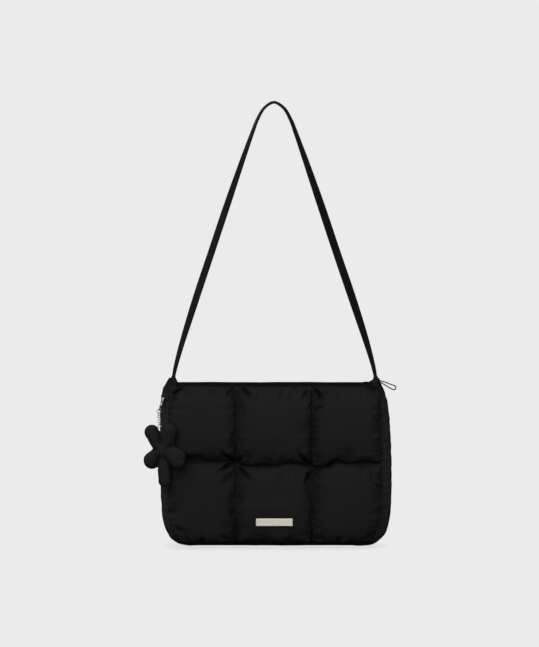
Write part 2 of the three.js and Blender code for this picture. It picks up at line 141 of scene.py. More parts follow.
def random_wave(run: Array, lengths: Sequence[float], seed: int) -> Array:
    """An uneven wave of about unit height.

    Args:
        run: Places along the wave.
        lengths: The wave lengths that are mixed.
        seed: Chooses one of many such waves.

    Returns:
        The height at each place.
    """
    chance = np.random.default_rng(seed)
    total = np.zeros_like(run)
    for length in lengths:
        total += np.sin(run * 2.0 * math.pi / length + chance.uniform(0.0, 2.0 * math.pi))
    return total / math.sqrt(len(lengths))


def unit(vectors: Array) -> Array:
    """Scales each row vector to length one."""
    return vectors / np.maximum(np.linalg.norm(vectors, axis=-1, keepdims=True), NEAR_ZERO)


def bell(distance: Array, width: Any, power: float = 2.0) -> Array:
    """Falls from 1 on a line to nothing well past its width on both sides."""
    return np.exp(-(np.abs(distance / width) ** power))


def swell_and_fade(near: Array, reach: float) -> Array:
    """Rises from 0 at a seam to 1 at its reach, and fades beyond."""
    return (near / reach) * np.exp(1.0 - near / reach)


def squared(wave: Array, power: float) -> Array:
    """Pushes a sine or cosine out to its ends, which squares off the ring that it draws."""
    return np.sign(wave) * np.abs(wave) ** power


def run_length(points: Array) -> Array:
    """Length along a line up to each of its points."""
    return np.concatenate([[0.0], np.cumsum(np.linalg.norm(np.diff(points, axis=0), axis=1))])


def held_back(moves: Array, reach: float) -> Array:
    """Shortens moves smoothly, so that none is longer than the reach."""
    size = np.linalg.norm(moves, axis=-1, keepdims=True)
    return moves * (reach * np.tanh(size / reach) / np.maximum(size, NEAR_ZERO))


def spline_points(knots: Array, shares: Array) -> Array:
    """Reads a centripetal Catmull-Rom line through its knots.

    Args:
        knots: Points that the line passes through.
        shares: Places from 0 to 1, an equal share for each stretch between knots.

    Returns:
        The points at those places.
    """
    ends = np.vstack([2 * knots[0] - knots[1], knots, 2 * knots[-1] - knots[-2]])
    reach = np.clip(shares, 0.0, 1.0) * (len(knots) - 1)
    index = np.minimum(reach.astype(int), len(knots) - 2)
    part = (reach - index)[:, None]
    p0, p1, p2, p3 = (ends[index + step] for step in range(4))
    d0, d1, d2 = (
        np.sqrt(np.linalg.norm(b - a, axis=1))[:, None] for a, b in ((p0, p1), (p1, p2), (p2, p3))
    )
    m1 = ((p1 - p0) / d0 - (p2 - p0) / (d0 + d1) + (p2 - p1) / d1) * d1
    m2 = ((p2 - p1) / d1 - (p3 - p1) / (d1 + d2) + (p3 - p2) / d2) * d1
    square = part * part
    cube = square * part
    return (
        (2 * cube - 3 * square + 1) * p1
        + (cube - 2 * square + part) * m1
        + (3 * square - 2 * cube) * p2
        + (cube - square) * m2
    )


def assign(target: Any, **values: Any) -> None:
    """Sets several properties of one thing, in the order given."""
    for name, value in values.items():
        setattr(target, name, value)


class Wire:
    """One output of a node, which can be used in Python expressions."""

    def __init__(self, graph: Graph, socket: Optional[bpy.types.NodeSocket]) -> None:
        """Keeps the socket and the graph that it belongs to."""
        self.graph = graph
        self.socket = socket

    def _math(self, operation: str, first: Number, second: Number = 0.0) -> Wire:
        """Adds a Math node."""
        return self.graph.node("ShaderNodeMath", {0: first, 1: second}, operation=operation)

    def __add__(self, other: Number) -> Wire:
        """Adds."""
        return self._math("ADD", self, other)

    def __sub__(self, other: Number) -> Wire:
        """Takes away."""
        return self._math("SUBTRACT", self, other)

    def __mul__(self, other: Number) -> Wire:
        """Multiplies."""
        return self._math("MULTIPLY", self, other)

    def sine(self) -> Wire:
        """The sine of this value."""
        return self._math("SINE", self)

    def size(self) -> Wire:
        """This value without its sign."""
        return self._math("ABSOLUTE", self)

    def beside(self, output: str) -> Wire:
        """Another output of the same node."""
        return Wire(self.graph, self.socket.node.outputs[output])


class Graph:
    """A node tree: a material's, the world's or one that sets repeated shapes."""

    def __init__(self, tree: bpy.types.NodeTree) -> None:
        """Empties the tree."""
        self.tree = tree
        tree.nodes.clear()

    @classmethod
    def of(cls, owner: Union[bpy.types.Material, bpy.types.World]) -> Graph:
        """Starts the graph of a material or of the world."""
        owner.use_nodes = True
        return cls(owner.node_tree)

    def node(self, kind: str, sockets: Optional[dict] = None, output: Any = 0, **settings: Any) -> Wire:
        """Adds a node.

        Args:
            kind: The node's type.
            sockets: A value or a wire for each input, by name or number.
            output: The output that is returned.
            **settings: Its own settings, which are set first.

        Returns:
            A wire from that output.
        """
        made = self.tree.nodes.new(kind)
        assign(made, **settings)
        for key, value in (sockets or {}).items():
            if isinstance(value, Wire):
                self.tree.links.new(value.socket, made.inputs[key])
            else:
                made.inputs[key].default_value = value
        return Wire(self, made.outputs[output] if made.outputs else None)

    def noise(self, place: Wire, scale: float, detail: float) -> Wire:
        """Adds a noise from 0 to 1, with its scale in waves a metre and its detail in octaves."""
        return self.node("ShaderNodeTexNoise", {"Vector": place, "Scale": scale, "Detail": detail})

    def blend(self, factor: Wire, first: Union[Wire, Colour], second: Colour) -> Wire:
        """Mixes two colours, by the share of the second."""
        start = first if isinstance(first, Wire) else (*first, 1.0)
        return self.node("ShaderNodeMix", {0: factor, 6: start, 7: (*second, 1.0)}, 2, data_type="RGBA")

    def bump(self, height: Wire, strength: float, distance: float) -> Wire:
        """Adds a bump node and returns its normal."""
        return self.node("ShaderNodeBump", {"Height": height, "Strength": strength, "Distance": distance})


class Weave(Enum):
    """How a cloth's threads cross."""

    PLAIN = "plain"
    RIBBED = "ribbed"
    BRAID = "braid"


@dataclass(frozen=True)
class Finish:
    """What every finish has."""

    name: str  # the material's name
    dark: Colour  # colour in the hollows and dull spots of its mottling
    light: Colour  # colour on its crests
    roughness: float  # mean roughness

    def sockets(self, graph: Graph, place: Wire) -> dict[str, Any]:
        """Works out the shader's inputs from coordinates on the piece."""
        raise NotImplementedError

    def uneven(self, first: Wire, second: Wire, shares: Range) -> Wire:
        """Varies the roughness about its mean with two noises, which average one half."""
        return first * shares[0] + second * shares[1] + (self.roughness - sum(shares) / 2.0)

    def material(self) -> bpy.types.Material:
        """Builds the finish's material.

        Returns:
            The new material.
        """
        made = bpy.data.materials.new(self.name)
        graph = Graph.of(made)
        place = graph.node("ShaderNodeTexCoord", output="Object")
        shader = graph.node("ShaderNodeBsdfPrincipled", self.sockets(graph, place))
        graph.node("ShaderNodeOutputMaterial", {"Surface": shader})
        return made


@dataclass(frozen=True)
class Cloth(Finish):
    """A woven finish, with its threads laid out on the piece's own UV map in metres."""

    pitch: float  # distance between threads
    weave: Weave  # how the threads cross
    relief: float  # height of the threads
    gloss: float  # specular level
    sheen: float = 0.0  # weight of the soft sheen
    crumple: float = 0.0  # height of the fine crumpling
    painted_shade_tone: float = 0.15  # brightness left in its painted shade, as a share of its dark colour

    def threads(self, graph: Graph) -> Wire:
        """Works out the height of the woven threads.

        Args:
            graph: The material's graph.

        Returns:
            The height, from 0 to 1.
        """
        flat = graph.node("ShaderNodeTexCoord", output="UV")
        along = graph.node("ShaderNodeSeparateXYZ", {"Vector": flat}, "X")
        across = along.beside("Y")
        turn = 2.0 * math.pi / (self.pitch * MM)
        if self.weave is Weave.PLAIN:
            return (along * turn).sine() * (across * turn).sine() * 0.5 + 0.5
        if self.weave is Weave.RIBBED:
            sway = (across * turn * 0.25).sine()
            return (along * turn + sway).sine() * 0.5 + 0.5
        return ((along + across) * turn).sine().size() * ((along - across) * turn).sine().size()

    def sockets(self, graph: Graph, place: Wire) -> dict[str, Any]:
        """Works out the shader's inputs.

        Args:
            graph: The material's graph.
            place: Coordinates on the piece.

        Returns:
            A value or a wire for each input.
        """
        height = self.threads(graph)
        mottle = graph.noise(place, scale=38.0, detail=3.0)
        grain = graph.noise(place, scale=900.0, detail=2.0)
        crease = graph.noise(place, scale=150.0, detail=4.0)
        lifted = height * (self.relief * MM) + crease * (self.crumple * MM)
        # The hollow_shade attribute blends the base colour towards a dark tone: painted shade in seams,
        # folds and other shaded places.
        shade = graph.node("ShaderNodeAttribute", output="Fac", attribute_name=SHADE)
        cloth = graph.blend(mottle * 0.5 + grain * 0.2 + height * 0.3, self.dark, self.light)
        painted_shade_tone = tuple(part * self.painted_shade_tone for part in self.dark)
        return {
            "Base Color": graph.blend(shade, cloth, painted_shade_tone),
            "Roughness": self.uneven(mottle, grain, shares=(0.12, 0.08)),
            "Specular IOR Level": self.gloss,
            "Sheen Weight": self.sheen,
            "Sheen Roughness": 0.45,
            "Normal": graph.bump(lifted, strength=1.0, distance=1.0),
        }


@dataclass(frozen=True)
class Metal(Finish):
    """A metal finish with a fine brushed or polished grain."""

    spread: float  # how much the roughness changes
    brushed: bool  # whether its grain runs along X
    metallic: float = 1.0  # share of bare metal, the rest being lacquer
    rim: float = 1.0  # brightness of the metal where it turns away

    def sockets(self, graph: Graph, place: Wire) -> dict[str, Any]:
        """Works out the shader's inputs.

        Args:
            graph: The material's graph.
            place: Coordinates on the piece.

        Returns:
            A value or a wire for each input.
        """
        stretch = (0.03, 1.0, 1.0) if self.brushed else (1.0, 1.0, 1.0)
        run = graph.node("ShaderNodeMapping", {"Vector": place, "Scale": stretch})
        grain = graph.noise(run, scale=2600.0 if self.brushed else 700.0, detail=3.0)
        cloud = graph.noise(place, scale=45.0, detail=2.0)
        return {
            "Base Color": graph.blend(cloud * 0.6 + grain * 0.4, self.dark, self.light),
            "Metallic": self.metallic,
            "Specular Tint": (self.rim, self.rim, self.rim, 1.0),
            "Roughness": self.uneven(grain, cloud, shares=(self.spread, self.spread)),
            "Normal": graph.bump(grain, strength=0.12, distance=0.02 * MM),
        }


@dataclass(frozen=True)
class Moulded(Finish):
    """A moulded or painted black finish with a faint grain and, where it has one, a clear coat."""

    coat: float  # weight of the clear coat

    def sockets(self, graph: Graph, place: Wire) -> dict[str, Any]:
        """Works out the shader's inputs.

        Args:
            graph: The material's graph.
            place: Coordinates on the piece.

        Returns:
            A value or a wire for each input.
        """
        grain = graph.noise(place, scale=1500.0, detail=2.0)
        cloud = graph.noise(place, scale=120.0, detail=2.0)
        return {
            "Base Color": graph.blend(cloud, self.dark, self.light),
            "Roughness": self.uneven(grain, cloud, shares=(0.14, 0.1)),
            "Coat Weight": self.coat,
            "Coat Roughness": 0.2,
            "Normal": graph.bump(grain, strength=0.1, distance=0.02 * MM),
        }


def grey(level: float, blue: float) -> Colour:
    """A grey with its own level of blue."""
    return level, level, blue


TAPE = (grey(0.0058, 0.0062), grey(0.0092, 0.0096))  # dark and light colours of the strap
THREAD = (grey(0.007, 0.0072), grey(0.0105, 0.0108))  # dark and light colours of cord and thread
NYLON = (0.6, 0.5, Weave.PLAIN, 0.012)  # roughness, pitch, weave and relief of the nylon
# Each row follows the order of its class's fields.
FINISHES = {
    finish.name: finish
    for finish in (
        Cloth("padded_nylon", grey(0.0127, 0.0129), grey(0.0175, 0.0177), *NYLON, 0.02, crumple=0.04),
        Cloth("charm_nylon", grey(0.0138, 0.014), grey(0.0183, 0.0186), *NYLON, 0.03, crumple=0.04),
        # nylon is a lighter copy of the same black nylon as padded_nylon: painted light on the side strip
        # and the charm's tab.
        Cloth("nylon", grey(0.0206, 0.021), grey(0.0275, 0.028), *NYLON, 0.02, crumple=0.05),
        Cloth("webbing", *TAPE, 0.6, 0.9, Weave.RIBBED, 0.03, 0.12, 0.01),
        Cloth("zip_tape", grey(0.0039, 0.004), grey(0.0062, 0.0063), 0.7, 0.7, Weave.RIBBED, 0.03, 0.04),
        Cloth("cord", *THREAD, 0.6, 0.8, Weave.BRAID, 0.05, 0.1, 0.01),
        Cloth("thread", *THREAD, 0.55, 0.3, Weave.RIBBED, 0.02, 0.1, 0.01),
        Moulded("zip_plastic", grey(0.006, 0.0065), grey(0.01, 0.0105), 0.42, 0.0),
        Moulded("slider_metal", grey(0.008, 0.0085), grey(0.013, 0.0135), 0.35, 0.4),
        Metal("plate_metal", (0.97, 0.93, 0.8), (1.0, 0.965, 0.86), 0.42, 0.05, True, 0.05),
        Metal("silver", (0.52, 0.51, 0.485), (0.72, 0.71, 0.68), 0.14, 0.04, False, 1.0, 0.5),
    )
}


@lru_cache(maxsize=None)
def finish_named(name: str) -> bpy.types.Material:
    """Returns a finish's material, made on first use."""
    return FINISHES[name].material()


def add_object(name: str, data: Any, finish: Optional[str] = None) -> bpy.types.Object:
    """Links new data into the scene.

    Args:
        name: The object's name.
        data: A mesh or curve.
        finish: The finish that it gets.

    Returns:
        The new object.
    """
    made = bpy.data.objects.new(name, data)
    bpy.context.scene.collection.objects.link(made)
    if finish:
        data.materials.clear()
        data.materials.append(finish_named(finish))
    return made


def place_piece(
    made: bpy.types.Object, nodes: Sequence[str], body: str = BAG
) -> None:
    """Hangs a finished piece on the frame.

    Args:
        made: The piece.
        nodes: The solids that it stands for.
        body: The body that it moves with.
    """
    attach(made, body)
    if nodes:
        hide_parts(*nodes)
    log.info("%s rides on %s", made.name, body)


def grid_faces(rows: int, columns: int, wrap: bool = False) -> Faces:
    """Lists the quads of a grid of points.

    Args:
        rows: Rows of points.
        columns: Points in a row.
        wrap: Whether each row closes on itself.

    Returns:
        Four point numbers for each quad.
    """
    faces = []
    for first in range(0, (rows - 1) * columns, columns):
        for column in range(columns if wrap else columns - 1):
            a = first + column
            b = first + (column + 1) % columns
            faces.append((a, b, b + columns, a + columns))
    return faces


def points_of(mesh: bpy.types.Mesh) -> Array:
    """Reads a mesh's points.

    Args:
        mesh: The mesh.

    Returns:
        A row for each point, in metres.
    """
    points = np.empty(len(mesh.vertices) * 3)
    mesh.vertices.foreach_get("co", points)
    return points.reshape(-1, 3)


def shade_smooth(mesh: bpy.types.Mesh) -> None:
    """Shades all of a mesh's faces smoothly."""
    mesh.polygons.foreach_set("use_smooth", [True] * len(mesh.polygons))


def lay_cloth(mesh: bpy.types.Mesh, flat: Array) -> None:
    """Gives a mesh its cloth map.

    Args:
        mesh: The mesh.
        flat: A place on the flat cloth for each of its points, in metres.
    """
    layer = mesh.uv_layers.new(name="cloth")
    corners = np.empty(len(mesh.loops), dtype=np.int32)
    mesh.loops.foreach_get("vertex_index", corners)
    layer.data.foreach_set("uv", flat.reshape(-1, 2)[corners].astype(np.float32).ravel())


def mesh_of(
    name: str, points: Array, faces: Sequence[Sequence[int]], flat: Optional[Array] = None
) -> bpy.types.Mesh:
    """Builds a smooth mesh.

    Args:
        name: The mesh's name.
        points: Its points, in metres.
        faces: Its faces.
        flat: A place on the cloth for each point, in metres.

    Returns:
        The mesh, facing outwards as its faces are given.
    """
    mesh = bpy.data.meshes.new(name)
    mesh.from_pydata(points.reshape(-1, 3).tolist(), [], faces)
    if flat is not None:
        lay_cloth(mesh, flat)
    shade_smooth(mesh)
    mesh.update()
    return mesh


def set_shade(mesh: bpy.types.Mesh, shade: Array) -> None:
    """Keeps each point's painted shade in seams, folds and other shaded places, from 0 to 1, for the cloth's
    colour.
    """
    layer = mesh.attributes.new(SHADE, "FLOAT", "POINT")
    layer.data.foreach_set("value", np.clip(shade, 0.0, 1.0).astype(np.float32).ravel())


def set_creases(mesh: bpy.types.Mesh, sewn: Array) -> None:
    """Keeps the edges between sewn points sharp when the mesh is subdivided.

    Args:
        mesh: The mesh.
        sewn: Whether each of its points is sewn.
    """
    ends = np.empty(len(mesh.edges) * 2, dtype=np.int32)
    mesh.edges.foreach_get("vertices", ends)
    sharp = sewn.ravel()[ends.reshape(-1, 2)].all(axis=1)
    layer = mesh.attributes.new("crease_edge", "FLOAT", "EDGE")
    layer.data.foreach_set("value", sharp.astype(np.float32))


def turn_outwards(mesh: bpy.types.Mesh) -> None:
    """Points a closed mesh's faces outwards.

    Args:
        mesh: The mesh, changed in place.
    """
    work = bmesh.new()
    work.from_mesh(mesh)
    bmesh.ops.recalc_face_normals(work, faces=work.faces)
    work.to_mesh(mesh)
    work.free()


def apply_modifiers(made: bpy.types.Object) -> None:
    """Turns an object's modifiers into plain mesh.

    Args:
        made: The object, which gets the new mesh.
    """
    graph = bpy.context.evaluated_depsgraph_get()
    settled = bpy.data.meshes.new_from_object(made.evaluated_get(graph))
    made.modifiers.clear()
    made.data = settled


def subdivided(made: bpy.types.Object, levels: int) -> None:
    """Smooths a piece with a subdivision surface and makes it plain mesh."""
    assign(made.modifiers.new("smooth", "SUBSURF"), levels=levels, render_levels=levels)
    apply_modifiers(made)


def cloth_lengths(points: Array) -> Array:
    """Lays a grid of points out flat, along its own rows and columns.

    Args:
        points: Points in rows and columns.

    Returns:
        Two lengths for each point, in metres.
    """
    along = np.linalg.norm(np.diff(points, axis=1), axis=2)
    across = np.linalg.norm(np.diff(points, axis=0), axis=2)
    flat = np.zeros((*points.shape[:2], 2))
    flat[:, 1:, 0] = np.cumsum(along, axis=1)
    flat[1:, :, 1] = np.cumsum(across, axis=0)
    flat[:, :, 0] -= flat[:, :, 0].mean(axis=1, keepdims=True)
    return flat


def closed_sheet(
    name: str, outer: Array, inner: Array, faces: Faces
) -> bpy.types.Mesh:
    """Closes a grid of cloth and its inner face into a solid.

    Args:
        name: The mesh's name.
        outer: The outer points in rows and columns, in metres.
        inner: The inner points, in the same order.
        faces: Faces of the outer grid.

    Returns:
        The closed mesh, the outer points first.
    """
    rows, columns = outer.shape[:2]
    count = rows * columns
    ring = [*range(columns), *range(2 * columns - 1, count, columns)]
    ring += [*range(count - 2, count - columns - 1, -1), *range(count - 2 * columns, 0, -columns)]
    walls = [(a, b, b + count, a + count) for a, b in zip(ring, ring[1:] + ring[:1])]
    back = [tuple(corner + count for corner in face[::-1]) for face in faces]
    flat = cloth_lengths(outer)
    points = np.concatenate([outer, inner])
    mesh = mesh_of(name, points, [*faces, *back, *walls], np.concatenate([flat, flat]))
    turn_outwards(mesh)
    return mesh


def closed_tube(name: str, rings: Array, flat: Optional[Array] = None) -> bpy.types.Mesh:
    """Closes a row of rings into a tube with two end faces.

    Args:
        name: The mesh's name.
        rings: The points of each ring, in metres.
        flat: Their places on the cloth, measured along the tube where none are given.

    Returns:
        The closed mesh.
    """
    rows, columns = rings.shape[:2]
    faces = grid_faces(rows, columns, wrap=True)
    faces += [tuple(range(columns)), tuple(range((rows - 1) * columns, rows * columns))[::-1]]
    mesh = mesh_of(name, rings, faces, cloth_lengths(rings) if flat is None else flat)
    turn_outwards(mesh)
    return mesh


@dataclass(frozen=True)
class Settling:
    """How sewn cloth is blown up by its filling."""

    slack: float  # share of spare cloth away from the seams
    gather: float  # share of spare cloth gathered at the seams
    pressure: float  # push of the filling
    bending: float  # stiffness against bending
    frames: int  # steps of the run
    stretch: float = 15.0  # stiffness against stretching
    shear: float = 5.0  # stiffness against shearing
    mass: float = 0.0004  # mass at each point
    damping: float = 1.0  # drag of the air

    def run(self, made: bpy.types.Object, pinned: Array, free: Array) -> Array:
        """Simulates a piece of cloth.

        Args:
            made: The mesh object.
            pinned: Whether each point is sewn down.
            free: How far each point is from the gathered seams, from 0 to 1.

        Returns:
            The settled points.
        """
        group = made.vertex_groups.new(name="sewn")
        group.add(np.flatnonzero(pinned).tolist(), 1.0, "REPLACE")
        smooth = made.vertex_groups.new(name="smooth")
        for number, weight in enumerate(free.tolist()):
            smooth.add([number], weight, "REPLACE")
        modifier = made.modifiers.new("cloth", "CLOTH")
        assign(
            modifier.settings,
            quality=5,
            mass=self.mass,
            air_damping=self.damping,
            tension_stiffness=self.stretch,
            compression_stiffness=self.stretch,
            shear_stiffness=self.shear,
            bending_stiffness=self.bending,
            shrink_min=-self.gather,
            shrink_max=-self.slack,
            vertex_group_shrink=smooth.name,
            vertex_group_mass=group.name,
            use_pressure=True,
            uniform_pressure_force=self.pressure,
        )
        modifier.settings.effector_weights.gravity = 0.0
        modifier.collision_settings.use_collision = False
        assign(modifier.point_cache, frame_start=1, frame_end=self.frames)
        scene = bpy.context.scene
        for step in range(1, self.frames + 1):
            scene.frame_set(step)
        points = points_of(made.evaluated_get(bpy.context.evaluated_depsgraph_get()).data)
        made.modifiers.remove(modifier)
        made.vertex_groups.clear()
        scene.frame_set(1)
        return points

    def settle(
        self,
        name: str,
        points: Array,
        faces: Faces,
        pinned: Array,
        free: Array,
    ) -> Array:
        """Args:
            name: Name of the piece that is being built.
            points: The grid's points in rows and columns, in metres.
            faces: Its faces.
            pinned: Whether each point is sewn down.
            free: How far each point is from the gathered seams, from 0 to 1.

        Returns:
            The settled points in the same rows and columns.
        """
        sheet = add_object(name + "_sheet", mesh_of(name + "_sheet", points, faces))
        settled = self.run(sheet, pinned.ravel(), free.ravel()).reshape(points.shape)
        bpy.data.objects.remove(sheet)
        return settled


@dataclass(frozen=True)
class BagForm:
    """The bag's main sizes, shared by its panels, gusset and zip. Depths are below the zip's line."""

    top_z: float = -390.5  # height of the zip's line
    panel_top: float = 4.0  # depth of the panels' top edge
    hem: float = 6.6  # depth of the stitched hem
    panel_middle: float = 108.2  # depth of the channel between the two rows
    panel_bottom: float = 218.5  # depth of the panels' bottom edge
    channels: Range = (-53.5, 51.3)  # places of the upright channels
    clear: float = 0.5  # gap between the panels and the gusset
    seam_thick: float = 2.4  # thickness of a panel at its seams

    def column(self, name: str) -> SmoothTable:
        """Reads one column of the section table by depth."""
        return SmoothTable([row.depth for row in SECTIONS], [getattr(row, name) for row in SECTIONS])


class Fold(NamedTuple):
    """A fold pulled into a panel by its stitching."""

    x: float  # place of its deep end
    z: float  # height of its deep end
    end_x: float  # place of the end where it runs out
    end_z: float  # height of that end
    width: float  # half its width
    deep: float  # its depth


FRONT_FOLDS = (
    Fold(-54, -498, -76, -482, 2.6, 8.0),
    Fold(-51, -497, -42, -489, 2.3, 6.5),
    Fold(-59, -500, -81, -512, 2.6, 7.0),
    Fold(-48, -505, -27, -533, 2.4, 6.0),
    Fold(-51, -506, -43, -525, 2.0, 3.0),
    Fold(-58, -513, -77, -533, 3.4, 3.0),
    Fold(49, -502, 30, -479, 2.6, 8.0),
    Fold(44, -504, 36, -496, 2.0, 3.5),
    Fold(73, -504, 92, -492, 2.4, 5.0),
    Fold(47, -512, 39, -536, 2.3, 5.0),
    Fold(54, -511, 64, -525, 2.6, 3.0),
    Fold(56, -507, 75, -514, 2.2, 2.5),
    Fold(-57, -396, -69, -408, 2.6, 6.0),
    Fold(-45, -396, -29, -412, 2.8, 7.0),
    Fold(-62, -392, -79, -396, 2.2, 2.0),
    Fold(-48, -412, -38, -441, 4.0, 2.6),
    Fold(54, -396, 71, -418, 3.2, 7.0),
    Fold(46, -398, 34, -413, 2.4, 4.5),
    Fold(27, -395, 32, -401, 2.0, 2.5),
    Fold(52, -442, 64, -441, 1.7, 2.2),
    Fold(52, -451, 63, -450, 1.7, 2.2),
    Fold(52, -459, 62, -458, 1.7, 2.0),
    Fold(52, -466, 60, -467, 1.7, 1.8),
    Fold(54, -428, 74, -419, 2.4, 2.4),
    Fold(-29, -596, -5, -605, 2.6, 3.5),
    Fold(-73, -599, -61, -606, 2.2, 3.0),
    Fold(95, -600, 80, -606, 2.2, 3.0),
    Fold(15, -604, 32, -600, 2.0, 2.5),
    Fold(68, -601, 58, -606, 2.0, 2.2),
    Fold(-103, -605, -90, -602, 2.0, 2.2),
    Fold(-127, -395, -147, -407, 2.6, 8.0),
    Fold(-133, -399, -148, -414, 2.2, 6.0),
    Fold(-137, -408, -147, -422, 2.2, 5.0),
    Fold(143, -397, 121, -394, 3.0, 8.0),
    Fold(138, -527, 147, -536, 2.2, 3.5),
    Fold(139, -438, 145, -448, 2.0, 2.4),
    Fold(139, -481, 145, -486, 2.0, 2.4),
    Fold(-134, -589, -117, -597, 2.6, 3.5),
    Fold(128, -602, 141, -591, 2.4, 3.0),
)

# Depth of the long channel between the two rows of pillows, from left to right.
CHANNEL_LINE = SmoothTable(
    [-150, -75, -53.5, -38, 0, 30, 51.3, 70, 80, 100, 150],
    [106.4, 106.6, 108.9, 112, 111.3, 110.4, 114, 113.4, 107.4, 108.4, 108.7],
)


class Side(Enum):
    """Which way a panel faces, as the sign of Y."""

    FRONT = -1
    BACK = 1


@dataclass
class QuiltedPanel:
    """A quilted panel of two rows of three pillows, sewn along its channels and blown up by its filling.

    Of two values for a channel's side, the first is for its left and the second for its right.
    """

    form: BagForm
    side: Side
    crown: float  # how far the pillows stand out
    settling: Settling
    columns: int  # steps across a pillow
    rows: int  # steps down a pillow
    folds: tuple[Fold, ...] = ()
    bottom_roundness: float = 0.4  # bluntness of the bottom edge
    start: float = 0.9  # share of the crown before the cloth settles
    hem_rows: int = 3  # rows of points in the hem
    even_steps: float = 0.55  # share of even spacing in the steps, the rest being closer near the seams
    edge_power: float = 2.6  # squareness of a pillow's section
    roundness: float = 0.58  # bluntness of the other level edges
    side_roundness: float = 0.62  # bluntness of the inner upright edges
    outer_roundness: float = 0.54  # bluntness of the outer upright edges
    corner_power: float = 2.5  # squareness of a pillow's corners
    droop: float = 1.12  # how far the filling hangs below a pillow's middle
    channel_sink: float = 1.2  # depth of the sewn channels behind the outer seams
    channel_raise: Range = (0.4, 0.42)  # how far the left and right upright channels are filled
    valley_power: float = 2.4  # how evenly they are filled along their length
    gather: Range = (3.0, 12.0)  # distances from a seam over which its gathering ends
    pucker: float = 0.8  # height of the gathers
    pucker_reach: float = 5.0  # where they are highest, from their seam
    pucker_slant: float = 0.15  # how far they lean as they leave it
    pucker_waves: tuple[float, ...] = (5.5, 8.0, 11.0, 16.0, 23.0)
    hem_pucker: float = 2.0  # how much stronger they are at the hem
    bottom_pucker: float = 1.0  # how much stronger they are at the bottom
    side_pucker: float = 1.4  # how much stronger they are at the outer seams
    hem_reach: float = 12.0  # how far that strength carries
    top_roll: float = 2.2  # height of the roll under the hem
    roll_at: float = 3.4  # its distance below the hem
    roll_width: float = 1.7
    roll_mean: float = 0.7  # mean share of its height
    roll_uneven: float = 0.5  # how much the share varies
    roll_waves: tuple[float, ...] = (13.0, 21.0, 34.0)
    fullness: float = 1.35  # how far the settled cloth is filled out
    sunk: float = 2.0  # how far it may lie behind its seams
    pulled: float = 0.6  # share of the folds' depth before the cloth settles
    creased: float = 0.8  # share of it that is pressed in afterwards
    fold_power: float = 1.3  # sharpness of a fold
    fold_under: float = 1.5  # how far a fold may cut behind its seam
    fold_start: Range = (-0.15, 0.15)  # shares of its length over which it starts
    fold_end: Range = (0.25, 1.05)  # shares over which it runs out
    bow: float = 0.05  # how far it bows, as a share of its length
    lip: float = 0.22  # height of the lips beside it, as a share of its depth
    lip_at: float = 2.1  # their distance from it, in half widths
    fold_shade: float = 0.14  # painted shade for each millimetre of its depth
    channel_shade: Range = (0.34, 0.3)  # painted shade beside an upright channel
    channel_spread: Range = (7.5, 14.0)  # how far that darkness reaches
    channel_fade: float = 0.12  # share of a row over which it ends at the top and bottom
    seam_width: float = 1.4  # width of the lighter line on the channel's seam
    seam_lit: float = 0.5  # share of the painted shade that this line takes away
    bottom_shade: float = 0.9  # painted shade at the bottom edge
    bottom_reach: float = 4.5  # how far that darkness reaches
    bottom_uneven: float = 0.6  # how much its reach varies
    bottom_least: float = 1.0  # its least reach
    bottom_waves: tuple[float, ...] = (17.0, 29.0, 43.0)

    def dome(self, share: Array, roundness: Any) -> Array:
        """Rise of a pillow across its width, from 0 at both seams to 1."""
        return np.maximum(0.0, 1.0 - np.abs(2.0 * share - 1.0) ** self.edge_power) ** roundness

    def steps(self, count: int) -> Array:
        """Places across a pillow, closer together near its seams and without its far seam."""
        even = np.linspace(0.0, 1.0, count + 1)
        close = (1.0 - np.cos(np.pi * even)) / 2.0
        return (self.even_steps * even + (1.0 - self.even_steps) * close)[:-1]

    def places(self, across: Array, level: Array) -> tuple[Array, Array, Array]:
        """Finds where the grid's points lie.

        Args:
            across: Pillows from the left seam, from 0 to 3.
            level: Pillows below the hem, from -1 at the top edge to 2 at the bottom.

        Returns:
            Each point's x, its depth and the width of its pillow.
        """
        form = self.form
        column = np.clip(np.floor(across), 0, 2).astype(int)
        levels = [form.panel_top, form.hem, form.panel_middle, form.panel_bottom]
        depth = np.interp(level, [-1, 0, 1, 2], levels)
        # The seams' x follows the depth and the channel's depth follows x, so three passes find both.
        for _ in range(3):
            seam = form.column("seam")(depth)
            edges = np.stack([-seam, seam * 0 + form.channels[0], seam * 0 + form.channels[1], seam])
            left = np.take_along_axis(edges, column[None], 0)[0]
            right = np.take_along_axis(edges, column[None] + 1, 0)[0]
            x = left + (right - left) * (across - column)
            middle = CHANNEL_LINE(x) if self.side is Side.FRONT else form.panel_middle + 0 * x
            upper = form.hem + (middle - form.hem) * level
            lower = middle + (form.panel_bottom - middle) * (level - 1.0)
            band = form.panel_top + (form.hem - form.panel_top) * (level + 1.0)
            depth = np.where(level < 0, band, np.where(level < 1, upper, lower))
        return x, depth, right - left

    def rise(self, across: Array, level: Array, share: Array, fall: Array) -> Array:
        """Works out the pillows' shape.

        Args:
            across: Pillows from the left seam.
            level: Pillows below the hem.
            share: Share of a pillow's width.
            fall: Share of a pillow's height.

        Returns:
            The rise of each point, from 0 at the seams to 1.
        """
        outer = (across < 0.5) | (across > 2.5)
        wide = np.maximum(self.dome(share, np.where(outer, self.outer_roundness, self.side_roundness)), TINY)
        valley = np.where(outer, 0.0, np.where(across < 1.5, *self.channel_raise))
        valley = valley * (1.0 - np.abs(2.0 * fall - 1.0) ** self.valley_power)
        wide = valley + (1.0 - valley) * wide
        hung = fall**self.droop
        low = (level > 1.0) & (hung > 0.5)
        tall = np.maximum(self.dome(hung, np.where(low, self.bottom_roundness, self.roundness)), TINY)
        power = self.corner_power
        return np.maximum(0.0, (wide**-power + tall**-power - 1.0) ** (-1.0 / power) - TINY)

